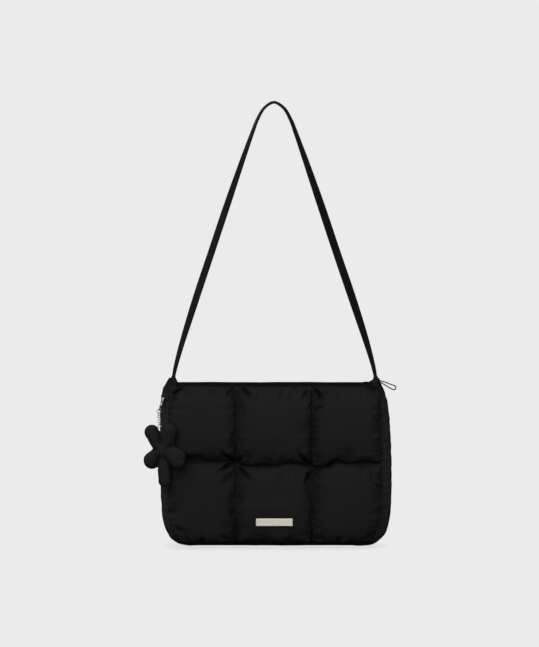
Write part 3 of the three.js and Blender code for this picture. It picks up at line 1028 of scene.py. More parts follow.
    def lay_out(self) -> dict[str, Array]:
        """Works out the panel's grid before it settles.

        Returns:
            For each grid point its place, its rise, how it is sewn and gathered, and its painted shade.
        """
        form = self.form
        one, down = self.steps(self.columns), self.steps(self.rows)
        hem = np.arange(self.hem_rows) / self.hem_rows
        across = np.concatenate([one, one + 1.0, one + 2.0, [3.0]])
        across, level = np.meshgrid(across, np.concatenate([hem - 1.0, down, down + 1.0, [2.0]]))
        x, depth, width = self.places(across, level)
        z = form.top_z - depth
        share = across - np.clip(np.floor(across), 0, 2)
        fall = np.clip(np.where(level < 1, level, level - 1.0), 0.0, 1.0)
        near_x = np.minimum(share, 1.0 - share) * width
        near_z = np.minimum(fall, 1.0 - fall) * form.panel_middle
        to_top = np.maximum(0.0, level) * form.panel_middle
        to_bottom = (2.0 - level) * form.panel_middle
        to_side = np.minimum(across, 3.0 - across) * form.panel_middle
        upright = np.isin(across, [1, 2]) & (level > 0) & (level < 2)
        inside = upright | ((level == 1) & (across > 0) & (across < 3))
        sewn = np.isin(across, [0, 1, 2, 3]) | np.isin(level, [-1, 0, 1, 2])
        hems = 1.0 + self.hem_pucker * np.exp(-to_top / self.hem_reach)
        hems += self.bottom_pucker * np.exp(-to_bottom / self.hem_reach)
        sides = 1.0 + self.side_pucker * np.exp(-to_side / self.hem_reach)
        roll = bell(to_top - self.roll_at, self.roll_width) * (level > 0)
        roll *= self.roll_mean + self.roll_uneven * random_wave(x, self.roll_waves, SEED + 2)
        reach = self.bottom_reach * (1.0 + self.bottom_uneven * random_wave(x, self.bottom_waves, SEED))
        ends = smooth_step(level, 0.0, self.channel_fade) * smooth_step(2.0 - level, 0.0, self.channel_fade)
        return {
            "x": x,
            "z": z,
            "inner": form.column("half")(depth) + form.clear,
            "rise": self.rise(across, level, share, fall),
            "lift": np.where(inside, -self.channel_sink, 0.0),
            "inside": inside,
            "sewn": sewn.astype(float),
            "free": smooth_step(np.minimum(near_x, near_z), *self.gather),
            "puckers": self.puckers((x, near_z, hems), (z, near_x, sides)) * (level > 0),
            "roll": roll,
            # Painted shade along the bottom edge.
            "bottom": np.exp(-to_bottom / np.maximum(reach, self.bottom_least)),
            # Painted shade beside the upright channels.
            "channel": self.painted_channel_shade(x) * ends,
        }

    def painted_channel_shade(self, x: Array) -> Array:
        """Works out the painted shade beside the upright channels.

        Args:
            x: Places from left to right.

        Returns:
            The painted shade at each place, which reaches further to a channel's right.
        """
        darkest = np.zeros_like(x)
        for channel in self.form.channels:
            off = x - channel
            strong = 1.0 - self.seam_lit * bell(off, self.seam_width)
            strong *= np.where(off < 0, *self.channel_shade)
            darkest = np.maximum(darkest, strong * bell(off, np.where(off < 0, *self.channel_spread)))
        return darkest

    def puckers(self, *seams: tuple[Array, Array, Array]) -> Array:
        """Works out the small gathers that run out from the seams.

        Args:
            *seams: For level and for upright seams, each point's place along the seam, its distance from
                the seam and how strong the gathers are there.

        Returns:
            The height of the gathers at each point.
        """
        total = np.zeros_like(seams[0][0])
        for number, (run, near, strong) in enumerate(seams):
            wave = random_wave(run + self.pucker_slant * near, self.pucker_waves, SEED + number)
            total += self.pucker * wave * swell_and_fade(near, self.pucker_reach) * strong
        return total

    def fold_depth(self, x: Array, z: Array) -> tuple[Array, Array]:
        """Reads the folds at each point.

        Args:
            x: Places from left to right.
            z: Heights.

        Returns:
            The depth of the deepest fold and the height of the highest lip beside one.
        """
        deepest, highest = np.zeros_like(x), np.zeros_like(x)
        for fold in self.folds:
            length = math.hypot(fold.end_x - fold.x, fold.end_z - fold.z)
            run_x, run_z = (fold.end_x - fold.x) / length, (fold.end_z - fold.z) / length
            along = ((x - fold.x) * run_x + (z - fold.z) * run_z) / length
            bow = self.bow * length * np.sin(np.pi * np.clip(along, 0.0, 1.0))
            across = np.abs((z - fold.z) * run_x - (x - fold.x) * run_z - bow) / fold.width
            taper = smooth_step(along, *self.fold_start) * (1.0 - smooth_step(along, *self.fold_end))
            deepest = np.maximum(deepest, fold.deep * taper * bell(across, 1.0, self.fold_power))
            highest = np.maximum(highest, self.lip * fold.deep * taper * bell(across - self.lip_at, 1.0))
        return deepest, highest

    def build(self, name: str, plate: Optional[Plate] = None) -> bpy.types.Object:
        """Builds and settles the panel.

        Args:
            name: The piece's name.
            plate: A plate that presses on it.

        Returns:
            The closed, padded piece.
        """
        grid = self.lay_out()
        sign = self.side.value
        folds, lips = self.fold_depth(grid["x"], grid["z"])
        stand = np.maximum(0.0, grid["rise"] * self.crown * self.start - folds * self.pulled)
        seam_y = grid["inner"] + self.form.seam_thick + grid["lift"]
        points = np.stack([grid["x"], sign * (seam_y + stand), grid["z"]], axis=2) * MM
        faces = grid_faces(*grid["x"].shape)
        if self.side is Side.FRONT:
            faces = [face[::-1] for face in faces]
        points = self.settling.settle(name, points, faces, grid["sewn"], grid["free"])
        out = sign * points[:, :, 1] / MM - seam_y
        log.info("%s stands out %.1f mm before trimming", name, out.max())
        trimmed = self.crown * np.tanh(np.maximum(out, -self.sunk) * self.fullness / self.crown)
        reach = np.minimum(folds, np.maximum(trimmed, 0.0) + self.fold_under)
        trimmed += (lips - reach) * self.creased * (1.0 - grid["sewn"])
        trimmed += (grid["puckers"] + self.top_roll * grid["roll"]) * (1.0 - grid["sewn"])
        points[:, :, 1] = sign * (seam_y + trimmed) * MM
        if plate:
            plate.press(points)
        inner = points.copy()
        inner[:, :, 1] = grid["inner"] * sign * MM
        mesh = closed_sheet(name, points, inner, faces)
        set_creases(mesh, np.concatenate([grid["inside"], np.zeros_like(grid["inside"])]))
        # Painted shade in the folds, beside the upright channels and along the bottom edge.
        shade = folds * self.fold_shade + grid["channel"] + grid["bottom"] * self.bottom_shade
        set_shade(mesh, np.concatenate([shade, shade]))
        made = add_object(name, mesh, "padded_nylon")
        subdivided(made, 1)
        return made


@dataclass
class Plate:
    """The seat of the bare metal plate on the lower middle pillow."""

    node: str = "plate"
    rim: float = 1.0  # how far the flat seat reaches past the plate
    margin: float = 30.0  # how far from the plate it has blended into the pillow
    gap: float = 0.25  # space between the cloth and the plate's back

    def press(self, points: Array) -> None:
        """Flattens the cloth under the plate.

        Args:
            points: The panel's points, changed in place.
        """
        corners = points_of(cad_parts[self.node].data) / MM
        low, high = corners.min(axis=0), corners.max(axis=0)
        normal = np.linalg.svd(corners - corners.mean(axis=0))[2][2]
        normal *= np.sign(normal[1])
        reach = (corners @ normal).max() + self.gap
        x, z = points[:, :, 0] / MM, points[:, :, 2] / MM
        away_x = np.maximum(0.0, np.maximum(low[0] - x, x - high[0]))
        away_z = np.maximum(0.0, np.maximum(low[2] - z, z - high[2]))
        weight = 1.0 - smooth_step(np.hypot(away_x, away_z), self.rim, self.margin)
        seat = (reach - normal[0] * x - normal[2] * z) / normal[1] * MM
        points[:, :, 1] += (seat - points[:, :, 1]) * weight


def solid_copy(node: str, name: str, finish: str, wire: bool = False) -> bpy.types.Object:
    """Copies a solid.

    Args:
        node: The solid's name.
        name: The new piece's name.
        finish: Its finish.
        wire: Whether to pair its triangles into quads, instead of making its flat faces whole.

    Returns:
        The copy.
    """
    work = bmesh.new()
    work.from_mesh(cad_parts[node].data)
    bmesh.ops.remove_doubles(work, verts=work.verts, dist=WELD)
    if wire:
        limits = {"angle_face_threshold": math.radians(40), "angle_shape_threshold": math.radians(60)}
        bmesh.ops.join_triangles(work, faces=work.faces, **limits)
    else:
        flat = math.radians(1.0)
        bmesh.ops.dissolve_limit(work, angle_limit=flat, verts=work.verts, edges=work.edges)
    mesh = bpy.data.meshes.new(name)
    work.to_mesh(mesh)
    work.free()
    shade_smooth(mesh)
    return add_object(name, mesh, finish)


class HardPiece(NamedTuple):
    """A hard piece that is a solid with its edges rounded."""

    node: str  # the solid's name
    name: str  # the piece's name
    slot: str  # its material slot and finish
    radius: float  # radius of its edges
    segments: int  # steps round an edge
    body: str = BAG  # the body that it moves with

    def build(self) -> None:
        """Builds the piece and hangs it on the frame."""
        made = solid_copy(self.node, self.name, self.slot)
        bevel = made.modifiers.new("edges", "BEVEL")
        assign(bevel, width=self.radius * MM, segments=self.segments, use_clamp_overlap=True)
        assign(bevel, limit_method="ANGLE", angle_limit=math.radians(35.0))
        made.modifiers.new("flat_faces", "WEIGHTED_NORMAL")
        apply_modifiers(made)
        place_piece(made, [self.node], self.body)


PLATE = HardPiece("plate", "metal_plate", "plate_metal", 0.35, 3)
SLIDER = HardPiece("zip_slider", "zip_slider_body", "slider_metal", 0.3, 2)
CLASP = (
    HardPiece("charm_loop", "charm_tab", "nylon", 0.4, 3),
    HardPiece("clasp_body", "lobster_clasp", "silver", 0.55, 4),
    HardPiece("clasp_lever", "lobster_lever", "silver", 0.3, 3, LEVER_BODY),
)


@dataclass(frozen=True)
class ShapeRow:
    """Small rounded shapes, such as stitches or zip teeth, that geometry nodes set along lines."""

    name: str  # the piece's name
    finish: str  # its finish
    spacing: float  # distance from one shape to the next
    size: Triple  # a shape's width, height and length

    def inputs(self) -> dict[str, float]:
        """The tree's named inputs, in metres."""
        width, height, length = self.size
        sizes = {"Spacing": self.spacing, "Width": width, "Height": height, "Length": length}
        return {name: value * MM for name, value in sizes.items()}

    def tree(self) -> tuple[bpy.types.NodeTree, dict[str, str]]:
        """Builds the node tree.

        Returns:
            The tree, and the identifier of each named input.
        """
        tree = bpy.data.node_groups.new(self.name, "GeometryNodeTree")
        graph = Graph(tree)
        face = tree.interface
        face.new_socket("Line", in_out="INPUT", socket_type="NodeSocketGeometry")
        sockets = {
            name: face.new_socket(name, in_out="INPUT", socket_type="NodeSocketFloat").identifier
            for name in self.inputs()
        }
        face.new_socket("Pieces", in_out="OUTPUT", socket_type="NodeSocketGeometry")
        line = graph.node("NodeGroupInput", output="Line")
        curve = graph.node("GeometryNodeMeshToCurve", {0: line})
        spaced = {0: curve, "Length": line.beside("Spacing")}
        points = graph.node("GeometryNodeCurveToPoints", spaced, "Points", mode="LENGTH")
        ball = graph.node("GeometryNodeMeshUVSphere", {"Segments": 8, "Rings": 5, "Radius": 0.5})
        axes = zip("XYZ", ("Width", "Height", "Length"))
        size = graph.node("ShaderNodeCombineXYZ", {axis: line.beside(name) for axis, name in axes})
        sized = graph.node("GeometryNodeTransform", {0: ball, "Scale": size})
        smooth = graph.node("GeometryNodeSetShadeSmooth", {0: sized})
        turned = {"Points": points, "Instance": smooth, "Rotation": points.beside("Rotation")}
        placed = graph.node("GeometryNodeInstanceOnPoints", turned)
        real = graph.node("GeometryNodeRealizeInstances", {0: placed})
        dressed = graph.node("GeometryNodeSetMaterial", {0: real, "Material": finish_named(self.finish)})
        graph.node("NodeGroupOutput", {0: dressed})
        return tree, sockets

    def along(self, lines: Sequence[Array]) -> bpy.types.Object:
        """Sets the shapes along lines.

        Args:
            lines: Points of each line, in millimetres.

        Returns:
            The finished plain mesh.
        """
        edges = []
        first = 0
        for line in lines:
            edges += [(first + step, first + step + 1) for step in range(len(line) - 1)]
            first += len(line)
        mesh = bpy.data.meshes.new(self.name)
        mesh.from_pydata((np.concatenate(lines) * MM).tolist(), edges, [])
        made = add_object(self.name, mesh)
        modifier = made.modifiers.new("pieces", "NODES")
        modifier.node_group, sockets = self.tree()
        for name, value in self.inputs().items():
            modifier[sockets[name]] = value
        apply_modifiers(made)
        return made


@dataclass
class Gusset:
    """The nylon strip that runs down one side, under the bag and up the other."""

    form: BagForm
    settling: Settling
    wall: float = 2.0  # thickness
    bottom_bulge: float = 6.8  # how far it swells under the bag
    corner_bulge: float = 2.2  # how much further it swells at the corners
    even_rows: int = 13  # steps over which its swell is evened
    flat_share: float = 0.3  # share of its width that is flat
    roll: float = 2.2  # how squarely it rolls in to its seams
    step: float = 3.0  # length of a step along it
    across: int = 22  # steps across it
    fine: tuple[int, int] = (400, 200)  # points that follow a side and the bottom
    tuck: float = 1.4  # how far its edges reach under the panels
    gather: Range = (0.05, 0.6)  # shares of its half width over which its gathering ends
    pucker: float = 0.9  # height of the gathers
    pucker_reach: float = 3.5  # where they are highest, from a seam
    pucker_waves: tuple[float, ...] = (9.0, 13.0, 19.0, 31.0)
    most_moved: float = 0.9  # furthest that the cloth settles
    bottom_held: float = 0.8  # share of that which is held back under the bag
    bottom_turn: Range = (0.5, 1.0)  # how squarely it faces down where its bottom begins and is full
    seam_shade: float = 0.12  # painted shade between the gathers
    shade_under: float = 0.5  # height of a gather's wave where that darkness begins
    under_shade: float = 0.85  # painted shade under the bag
    top_shade: float = 0.55  # painted shade at its top ends
    top_fade: Range = (6.0, 34.0)  # depths over which that darkness fades

    def course(self) -> tuple[Array, Array]:
        """Follows the seams down one side, under the bag and up the other in even steps.

        Returns:
            The length up to each step, and its x, z and depth.
        """
        form = self.form
        seam = form.column("seam")
        depth = np.linspace(SECTIONS[0].depth, form.panel_bottom, self.fine[0])
        side = np.stack([seam(depth), form.top_z - depth, depth], axis=1)
        bottom = np.linspace(-1.0, 1.0, self.fine[1])[1:-1] * seam(form.panel_bottom)
        level = np.full_like(bottom, form.panel_bottom)
        floor = np.stack([bottom, form.top_z - level, level], axis=1)
        line = np.concatenate([side * [-1, 1, 1], floor, side[::-1]])
        length = run_length(line[:, :2])
        at = np.linspace(0.0, length[-1], int(length[-1] / self.step) + 1)
        return at, np.stack([np.interp(at, length, line[:, axis]) for axis in range(3)], axis=1)

    def bulge(self, line: Array, out: Array) -> Array:
        """Works out how far the strip swells past the seams.

        Args:
            line: The course's x, z and depth.
            out: The direction outwards at each step.

        Returns:
            The swell at each step.
        """
        left, right = (self.form.column(name)(line[:, 2]) for name in ("left", "right"))
        swell = np.where(line[:, 0] < 0, left, right) * out[:, 0] ** 2 + self.bottom_bulge * out[:, 1] ** 2
        swell += self.corner_bulge * (2.0 * out[:, 0] * out[:, 1]) ** 2
        window = np.hanning(self.even_rows + 2)[1:-1]
        padded = np.pad(swell, self.even_rows // 2, mode="edge")
        return np.convolve(padded, window / window.sum(), mode="valid")

    def build(self, name: str) -> bpy.types.Object:
        """Builds and settles the strip.

        Args:
            name: The piece's name.

        Returns:
            The closed strip.
        """
        at, line = self.course()
        run = unit(np.gradient(line[:, :2], axis=0))
        out = np.stack([run[:, 1], -run[:, 0]], axis=1)
        half = self.form.column("half")(line[:, 2])[:, None]
        share = np.sin(np.linspace(-0.5, 0.5, self.across + 1) * math.pi)[None, :]
        past = np.maximum(0.0, (np.abs(share) - self.flat_share) / (1.0 - self.flat_share))
        off = self.bulge(line, out)[:, None] * (1.0 - past**self.roll)
        inset = (1.0 - np.abs(share)) * half
        waves = np.stack([random_wave(at, self.pucker_waves, SEED + edge) for edge in range(2)], axis=1)
        wave = np.where(share < 0, waves[:, :1], waves[:, 1:])
        level = smooth_step(-out[:, 1], *self.bottom_turn)[:, None]
        near_top = 1.0 - smooth_step(line[:, 2], *self.top_fade)[:, None]
        gathers = self.pucker * wave * swell_and_fade(inset, self.pucker_reach)
        off += gathers * (1.0 - level) * (1.0 - near_top)
        start = np.empty((*off.shape, 3))
        start[:, :, 0] = line[:, None, 0] + out[:, None, 0] * off
        start[:, :, 1] = share * (half + self.tuck)
        start[:, :, 2] = line[:, None, 1] + out[:, None, 1] * off
        start *= MM
        inner = start.copy()
        inner[:, :, [0, 2]] -= out[:, None] * self.wall * MM
        sewn = np.zeros(off.shape)
        sewn[:, [0, -1]] = 1.0
        sewn[[0, -1], :] = 1.0
        free = smooth_step(1.0 - np.abs(share), *self.gather) + 0 * sewn
        faces = grid_faces(*off.shape)
        moves = self.settling.settle(name, start, faces, sewn, free) - start
        kept = 1.0 - self.bottom_held * level[:, :, None]
        points = start + held_back(moves, self.most_moved * MM) * kept
        mesh = closed_sheet(name, points, inner, faces)
        # Painted shade under the bag, at the top ends and between the gathers at the seams.
        shade = self.under_shade * level + self.top_shade * near_top + 0 * off
        low = np.clip(self.shade_under - wave, 0.0, 1.0)
        shade += self.seam_shade * np.exp(-inset / self.pucker_reach) * low
        set_shade(mesh, np.concatenate([shade, shade]))
        made = add_object(name, mesh, "nylon")
        subdivided(made, 1)
        return made


@dataclass
class Zip:
    """The zip: two woven tapes, a closed chain of moulded teeth and a slider."""

    form: BagForm
    half_length: float = 137.0  # half the tapes' length
    hem: float = 6.0  # how far they reach down behind the panels
    shoulder: float = 2.0  # width of the fold over the panels' top edge
    rise: float = 1.5  # its height
    outer: Range = (0.35, -0.8)  # a point on its outer side: share of its width, and height
    inner: Range = (1.9, 0.3)  # a point on its inner side: shares of its width and height
    centre: float = 2.5  # distance of the tapes' inner edges from the middle
    sink: float = 1.8  # depth of these edges
    thick: float = 0.96  # thickness of the tape
    clear: float = 0.3  # gap to the panels
    section_steps: int = 22  # points across a tape
    stations: int = 138  # points along it
    crest: float = math.sqrt(2.0)  # distance from the fold's top over which its ripples fade
    # Height, length and phase of each ripple.
    ripples: tuple[Triple, ...] = ((0.16, 19.0, 0.0), (0.08, 7.3, 1.0))
    teeth_ends: Range = (-134.0, 122.0)  # where the teeth start and end
    tooth_inset: float = 1.0  # how far the first and last teeth lie inside these ends
    tooth_off: float = 1.0  # distance of each row from the middle
    tooth_z: float = -2.2  # height of the rows
    teeth: ShapeRow = ShapeRow("zip_tooth_rows", "zip_plastic", 2.4, (2.2, 1.7, 1.9))

    def tape_line(self) -> Array:
        """Works out the tape's section, from its hem to the teeth.

        Returns:
            Each point's distance from the middle and its height.
        """
        form = self.form
        half = form.column("half")
        rim = float(half(form.panel_top)) - self.clear
        low = form.panel_top + self.hem
        knots = np.array(
            [
                [float(half(low)) - self.clear, -low],
                [rim, -form.panel_top],
                [rim - self.shoulder * self.outer[0], self.outer[1]],
                [rim - self.shoulder, self.rise],
                [rim - self.shoulder * self.inner[0], self.rise * self.inner[1]],
                [self.centre, -self.sink],
            ]
        )
        return spline_points(knots, np.linspace(0.0, 1.0, self.section_steps))

    def build_tape(self, side: Side) -> None:
        """Builds one woven tape.

        Args:
            side: Front or back.
        """
        section = self.tape_line()
        tangent = unit(np.gradient(section, axis=0))
        inward = np.stack([tangent[:, 1], -tangent[:, 0]], axis=1)
        inward *= np.sign(-inward.sum(axis=1, keepdims=True))
        ring = np.concatenate([section, (section + inward * self.thick)[::-1]])
        x = np.linspace(-self.half_length, self.half_length, self.stations)[:, None]
        wave = sum(height * np.sin(x / length + phase) for height, length, phase in self.ripples)
        crest = bell(ring[:, 1] - self.rise, self.crest)
        height = self.form.top_z + ring[:, 1] + wave * crest
        points = np.stack(np.broadcast_arrays(x, side.value * ring[:, 0], height), axis=2) * MM
        which = side.name.lower()
        name = f"zip_tape_cloth_{which}"
        made = add_object(name, closed_tube(name, points), "zip_tape")
        place_piece(made, [f"zip_tape_{which}"])

    def build(self) -> None:
        """Builds the tapes, the teeth and the slider."""
        for side in Side:
            self.build_tape(side)
        low, high = self.teeth_ends
        z = self.form.top_z + self.tooth_z
        lines = []
        for side, shift in ((-1.0, 0.0), (1.0, 0.5)):
            start = low + shift * self.teeth.spacing + self.tooth_inset
            y = side * self.tooth_off
            lines.append(np.array([[start, y, z], [high - self.tooth_inset, y, z]]))
        place_piece(self.teeth.along(lines), ["zip_teeth"])
        SLIDER.build()


# Places on the pull cord, from the slider round its loop and back, as in the solid.
PULL_ROUTE = (
    (132.4, 1.1, -389.0),
    (135.2, 5.2, -387.4),
    (139.0, 9.8, -386.2),
    (145.0, 11.8, -386.4),
    (149.0, 11.6, -387.5),
    (154.0, 11.0, -388.9),
    (160.0, 10.2, -391.2),
    (164.6, 9.4, -392.9),
    (168.4, 8.5, -394.3),
    (170.0, 8.2, -395.8),
    (170.1, 8.0, -398.0),
    (168.6, 8.0, -399.6),
    (166.4, 8.2, -399.7),
    (160.0, 9.5, -396.2),
    (152.4, 11.2, -391.6),
    (148.0, 12.8, -389.0),
    (145.0, 13.4, -387.8),
    (139.4, 10.8, -387.6),
    (135.6, 3.2, -388.9),
    (132.4, -1.1, -389.0),
)


@dataclass
class PullCord:
    """The thin cord looped through the slider, seen from end to end."""

    diameter: float = 1.6
    length: float = 97.0
    points: int = 60  # points along its curve

    def build(self) -> None:
        """Builds the cord on its route."""
        route = spline_points(np.array(PULL_ROUTE), np.linspace(0.0, 1.0, self.points)) * MM
        curve = bpy.data.curves.new("zip_pull", "CURVE")
        radius = self.diameter * MM / 2.0
        assign(curve, dimensions="3D", bevel_depth=radius, bevel_resolution=3, use_fill_caps=True)
        line = curve.splines.new("POLY")
        line.points.add(len(route) - 1)
        for point, place in zip(line.points, route):
            point.co = (*place, 1.0)
        line.use_smooth = True
        made = add_object("zip_pull", curve, "cord")
        place_piece(made, ["zip_pull_cord"])


class LegRow(NamedTuple):
    """A place on the strap's leg and the share of its full turn there."""

    x: float
    z: float
    turn: float


STRAP_LEG = (
    LegRow(0, 2, 0.3),
    LegRow(13.5, -5.8, 0.32),
    LegRow(23.4, -22.4, 0.36),
    LegRow(30.2, -40, 0.45),
    LegRow(42, -73, 0.65),
    LegRow(65, -140, 0.95),
    LegRow(87.5, -207.5, 1),
    LegRow(110, -274.5, 1),
    LegRow(131.2, -341.6, 0.66),
    LegRow(139.2, -372, 0.24),
    LegRow(141.0, -383, 0.04),
    LegRow(140.6, -397, 0),
)


@dataclass
class Strap:
    """The narrow carrying strap of folded, edge-stitched nylon tape."""

    width: float = 15.6
    thick: float = 2.8
    foot_width: float = 12.0  # width where it is gathered into the corner tabs
    foot_thick: float = 4.8  # thickness there
    gathered: Range = (-380.0, -325.0)  # heights between which it gathers
    turns: Range = (36.0, 43.0)  # degrees that the left and right legs turn
    shift: float = -0.7  # how far its upper part lies to the side
    shifted: Range = (-380.0, -200.0)  # heights between which it shifts
    steps: int = 300  # steps along it
    around: int = 24  # points round its section
    square: Range = (0.35, 0.5)  # squareness of its edges and of its faces
    stitch_inset: float = 1.7  # distance of the stitches from its edges
    stitch_sink: float = 0.98  # height of their row, as a share of half its thickness
    stitches: ShapeRow = ShapeRow("strap_stitches", "thread", 3.0, (0.45, 0.35, 2.2))

    def frames(self) -> tuple[Array, Array, Array]:
        """The strap's middle line and its directions.

        Returns:
            Points, the direction across its width and the direction out of its face.
        """
        knots, turns = [], []
        for sign, rows, full in zip((-1, 1), (STRAP_LEG[:0:-1], STRAP_LEG), self.turns):
            for row in rows:
                moved = self.shift * float(smooth_step(row.z, *self.shifted))
                knots.append((sign * row.x + moved, 0.0, row.z))
                turns.append(row.turn * full)
        shares = np.linspace(0.0, 1.0, self.steps + 1)
        points = spline_points(np.array(knots, dtype=float), shares)
        turn = np.radians(SmoothTable(np.arange(len(turns)), turns)(shares * (len(turns) - 1)))[:, None]
        run = unit(np.gradient(points, axis=0))
        flat = np.stack([-run[:, 2], 0 * run[:, 0], run[:, 0]], axis=1)
        depth = np.array([[0.0, 1.0, 0.0]])
        return points, depth * np.cos(turn) + flat * np.sin(turn), flat * np.cos(turn) - depth * np.sin(turn)

    def build(self) -> None:
        """Builds the strap and its stitching."""
        middle, wide, out = self.frames()
        angles = np.linspace(0.0, 2.0 * math.pi, self.around + 1)[:-1]
        gathered = 1.0 - smooth_step(middle[:, 2], *self.gathered)[:, None]
        half_w = (self.width + (self.foot_width - self.width) * gathered) / 2.0
        half_t = (self.thick + (self.foot_thick - self.thick) * gathered) / 2.0
        ring_w = squared(np.cos(angles), self.square[0]) * half_w
        ring_t = squared(np.sin(angles), self.square[1]) * half_t
        points = middle[:, None] + wide[:, None] * ring_w[:, :, None] + out[:, None] * ring_t[:, :, None]
        flat = np.stack(np.broadcast_arrays(run_length(middle)[:, None], ring_w), axis=2) * MM
        made = add_object("strap_tape", closed_tube("strap_tape", points * MM, flat), "webbing")
        place_piece(made, ["strap"])
        lines = []
        for edge in (-1.0, 1.0):
            for face in (-1.0, 1.0):
                across = wide * edge * (half_w - self.stitch_inset)
                lines.append(middle + across + out * face * half_t * self.stitch_sink)
        place_piece(self.stitches.along(lines), [])


class TabRow(NamedTuple):
    """A level of a corner tab: its height, middle and half sizes."""

    z: float
    x: float
    half_x: float
    half_y: float


CORNER_TAB = (
    TabRow(-402.0, 140.0, 4.6, 8.0),
    TabRow(-397.0, 140.2, 5.8, 9.0),
    TabRow(-392.0, 140.8, 5.6, 9.0),
    TabRow(-388.5, 140.9, 5.6, 8.6),
    TabRow(-385.5, 141.2, 4.3, 8.0),
    TabRow(-382.5, 141.2, 3.1, 7.4),
    TabRow(-379.5, 141.0, 2.55, 6.8),
)


@dataclass
class CornerTab:
    """The folded nylon that covers a zip end and holds the strap's foot."""

    steps: int = 20  # levels
    around: int = 32  # points round a level
    square: float = 0.6  # squareness of a level
    # Height of each ripple, its waves round a level, and its slant.
    ripples: tuple[Triple, ...] = ((0.05, 5.0, 0.5), (0.03, 9.0, -0.9))

    def build(self, name: str, sign: float) -> None:
        """Builds one tab.

        Args:
            name: The piece's name.
            sign: -1 on the left, 1 on the right.
        """
        rows = np.array(CORNER_TAB)
        z = np.linspace(rows[0, 0], rows[-1, 0], self.steps)[:, None]
        x, half_x, half_y = (SmoothTable(rows[:, 0], rows[:, column])(z) for column in (1, 2, 3))
        angle = np.linspace(0.0, 2.0 * math.pi, self.around + 1)[None, :-1]
        ripple = 1.0
        for height, waves, slant in self.ripples:
            ripple = ripple + height * np.sin(angle * waves + z * slant)
        out_x = sign * (x + half_x * squared(np.cos(angle), self.square) * ripple)
        out_y = half_y * squared(np.sin(angle), self.square) * ripple
        points = np.stack(np.broadcast_arrays(out_x, out_y, z), axis=2) * MM
        made = add_object(name, closed_tube(name, points), "padded_nylon")
        subdivided(made, 1)
        place_piece(made, [])


class PetalRow(NamedTuple):
    """A petal: its direction, the distance of its lobe and the lobe's radius."""

    angle: float
    reach: float
    lobe: float


PETALS = (
    PetalRow(123.5, 30.0, 10.4),
    PetalRow(69.0, 30.0, 10.0),
    PetalRow(216.5, 20.6, 11.6),
    PetalRow(-13.0, 24.4, 9.4),
    PetalRow(-29.4, 25.4, 10.2),
    PetalRow(-85.9, 39.2, 9.2),
)


class WebRow(NamedTuple):
    """The thin web between two petals: its direction and how far out the notch lies."""

    angle: float
    reach: float


WEBS = (
    WebRow(99.5, 28.0),
    WebRow(163.3, 14.3),
    WebRow(247.0, 16.6),
    WebRow(-59.2, 22.0),
    WebRow(32.0, 18.5),
)


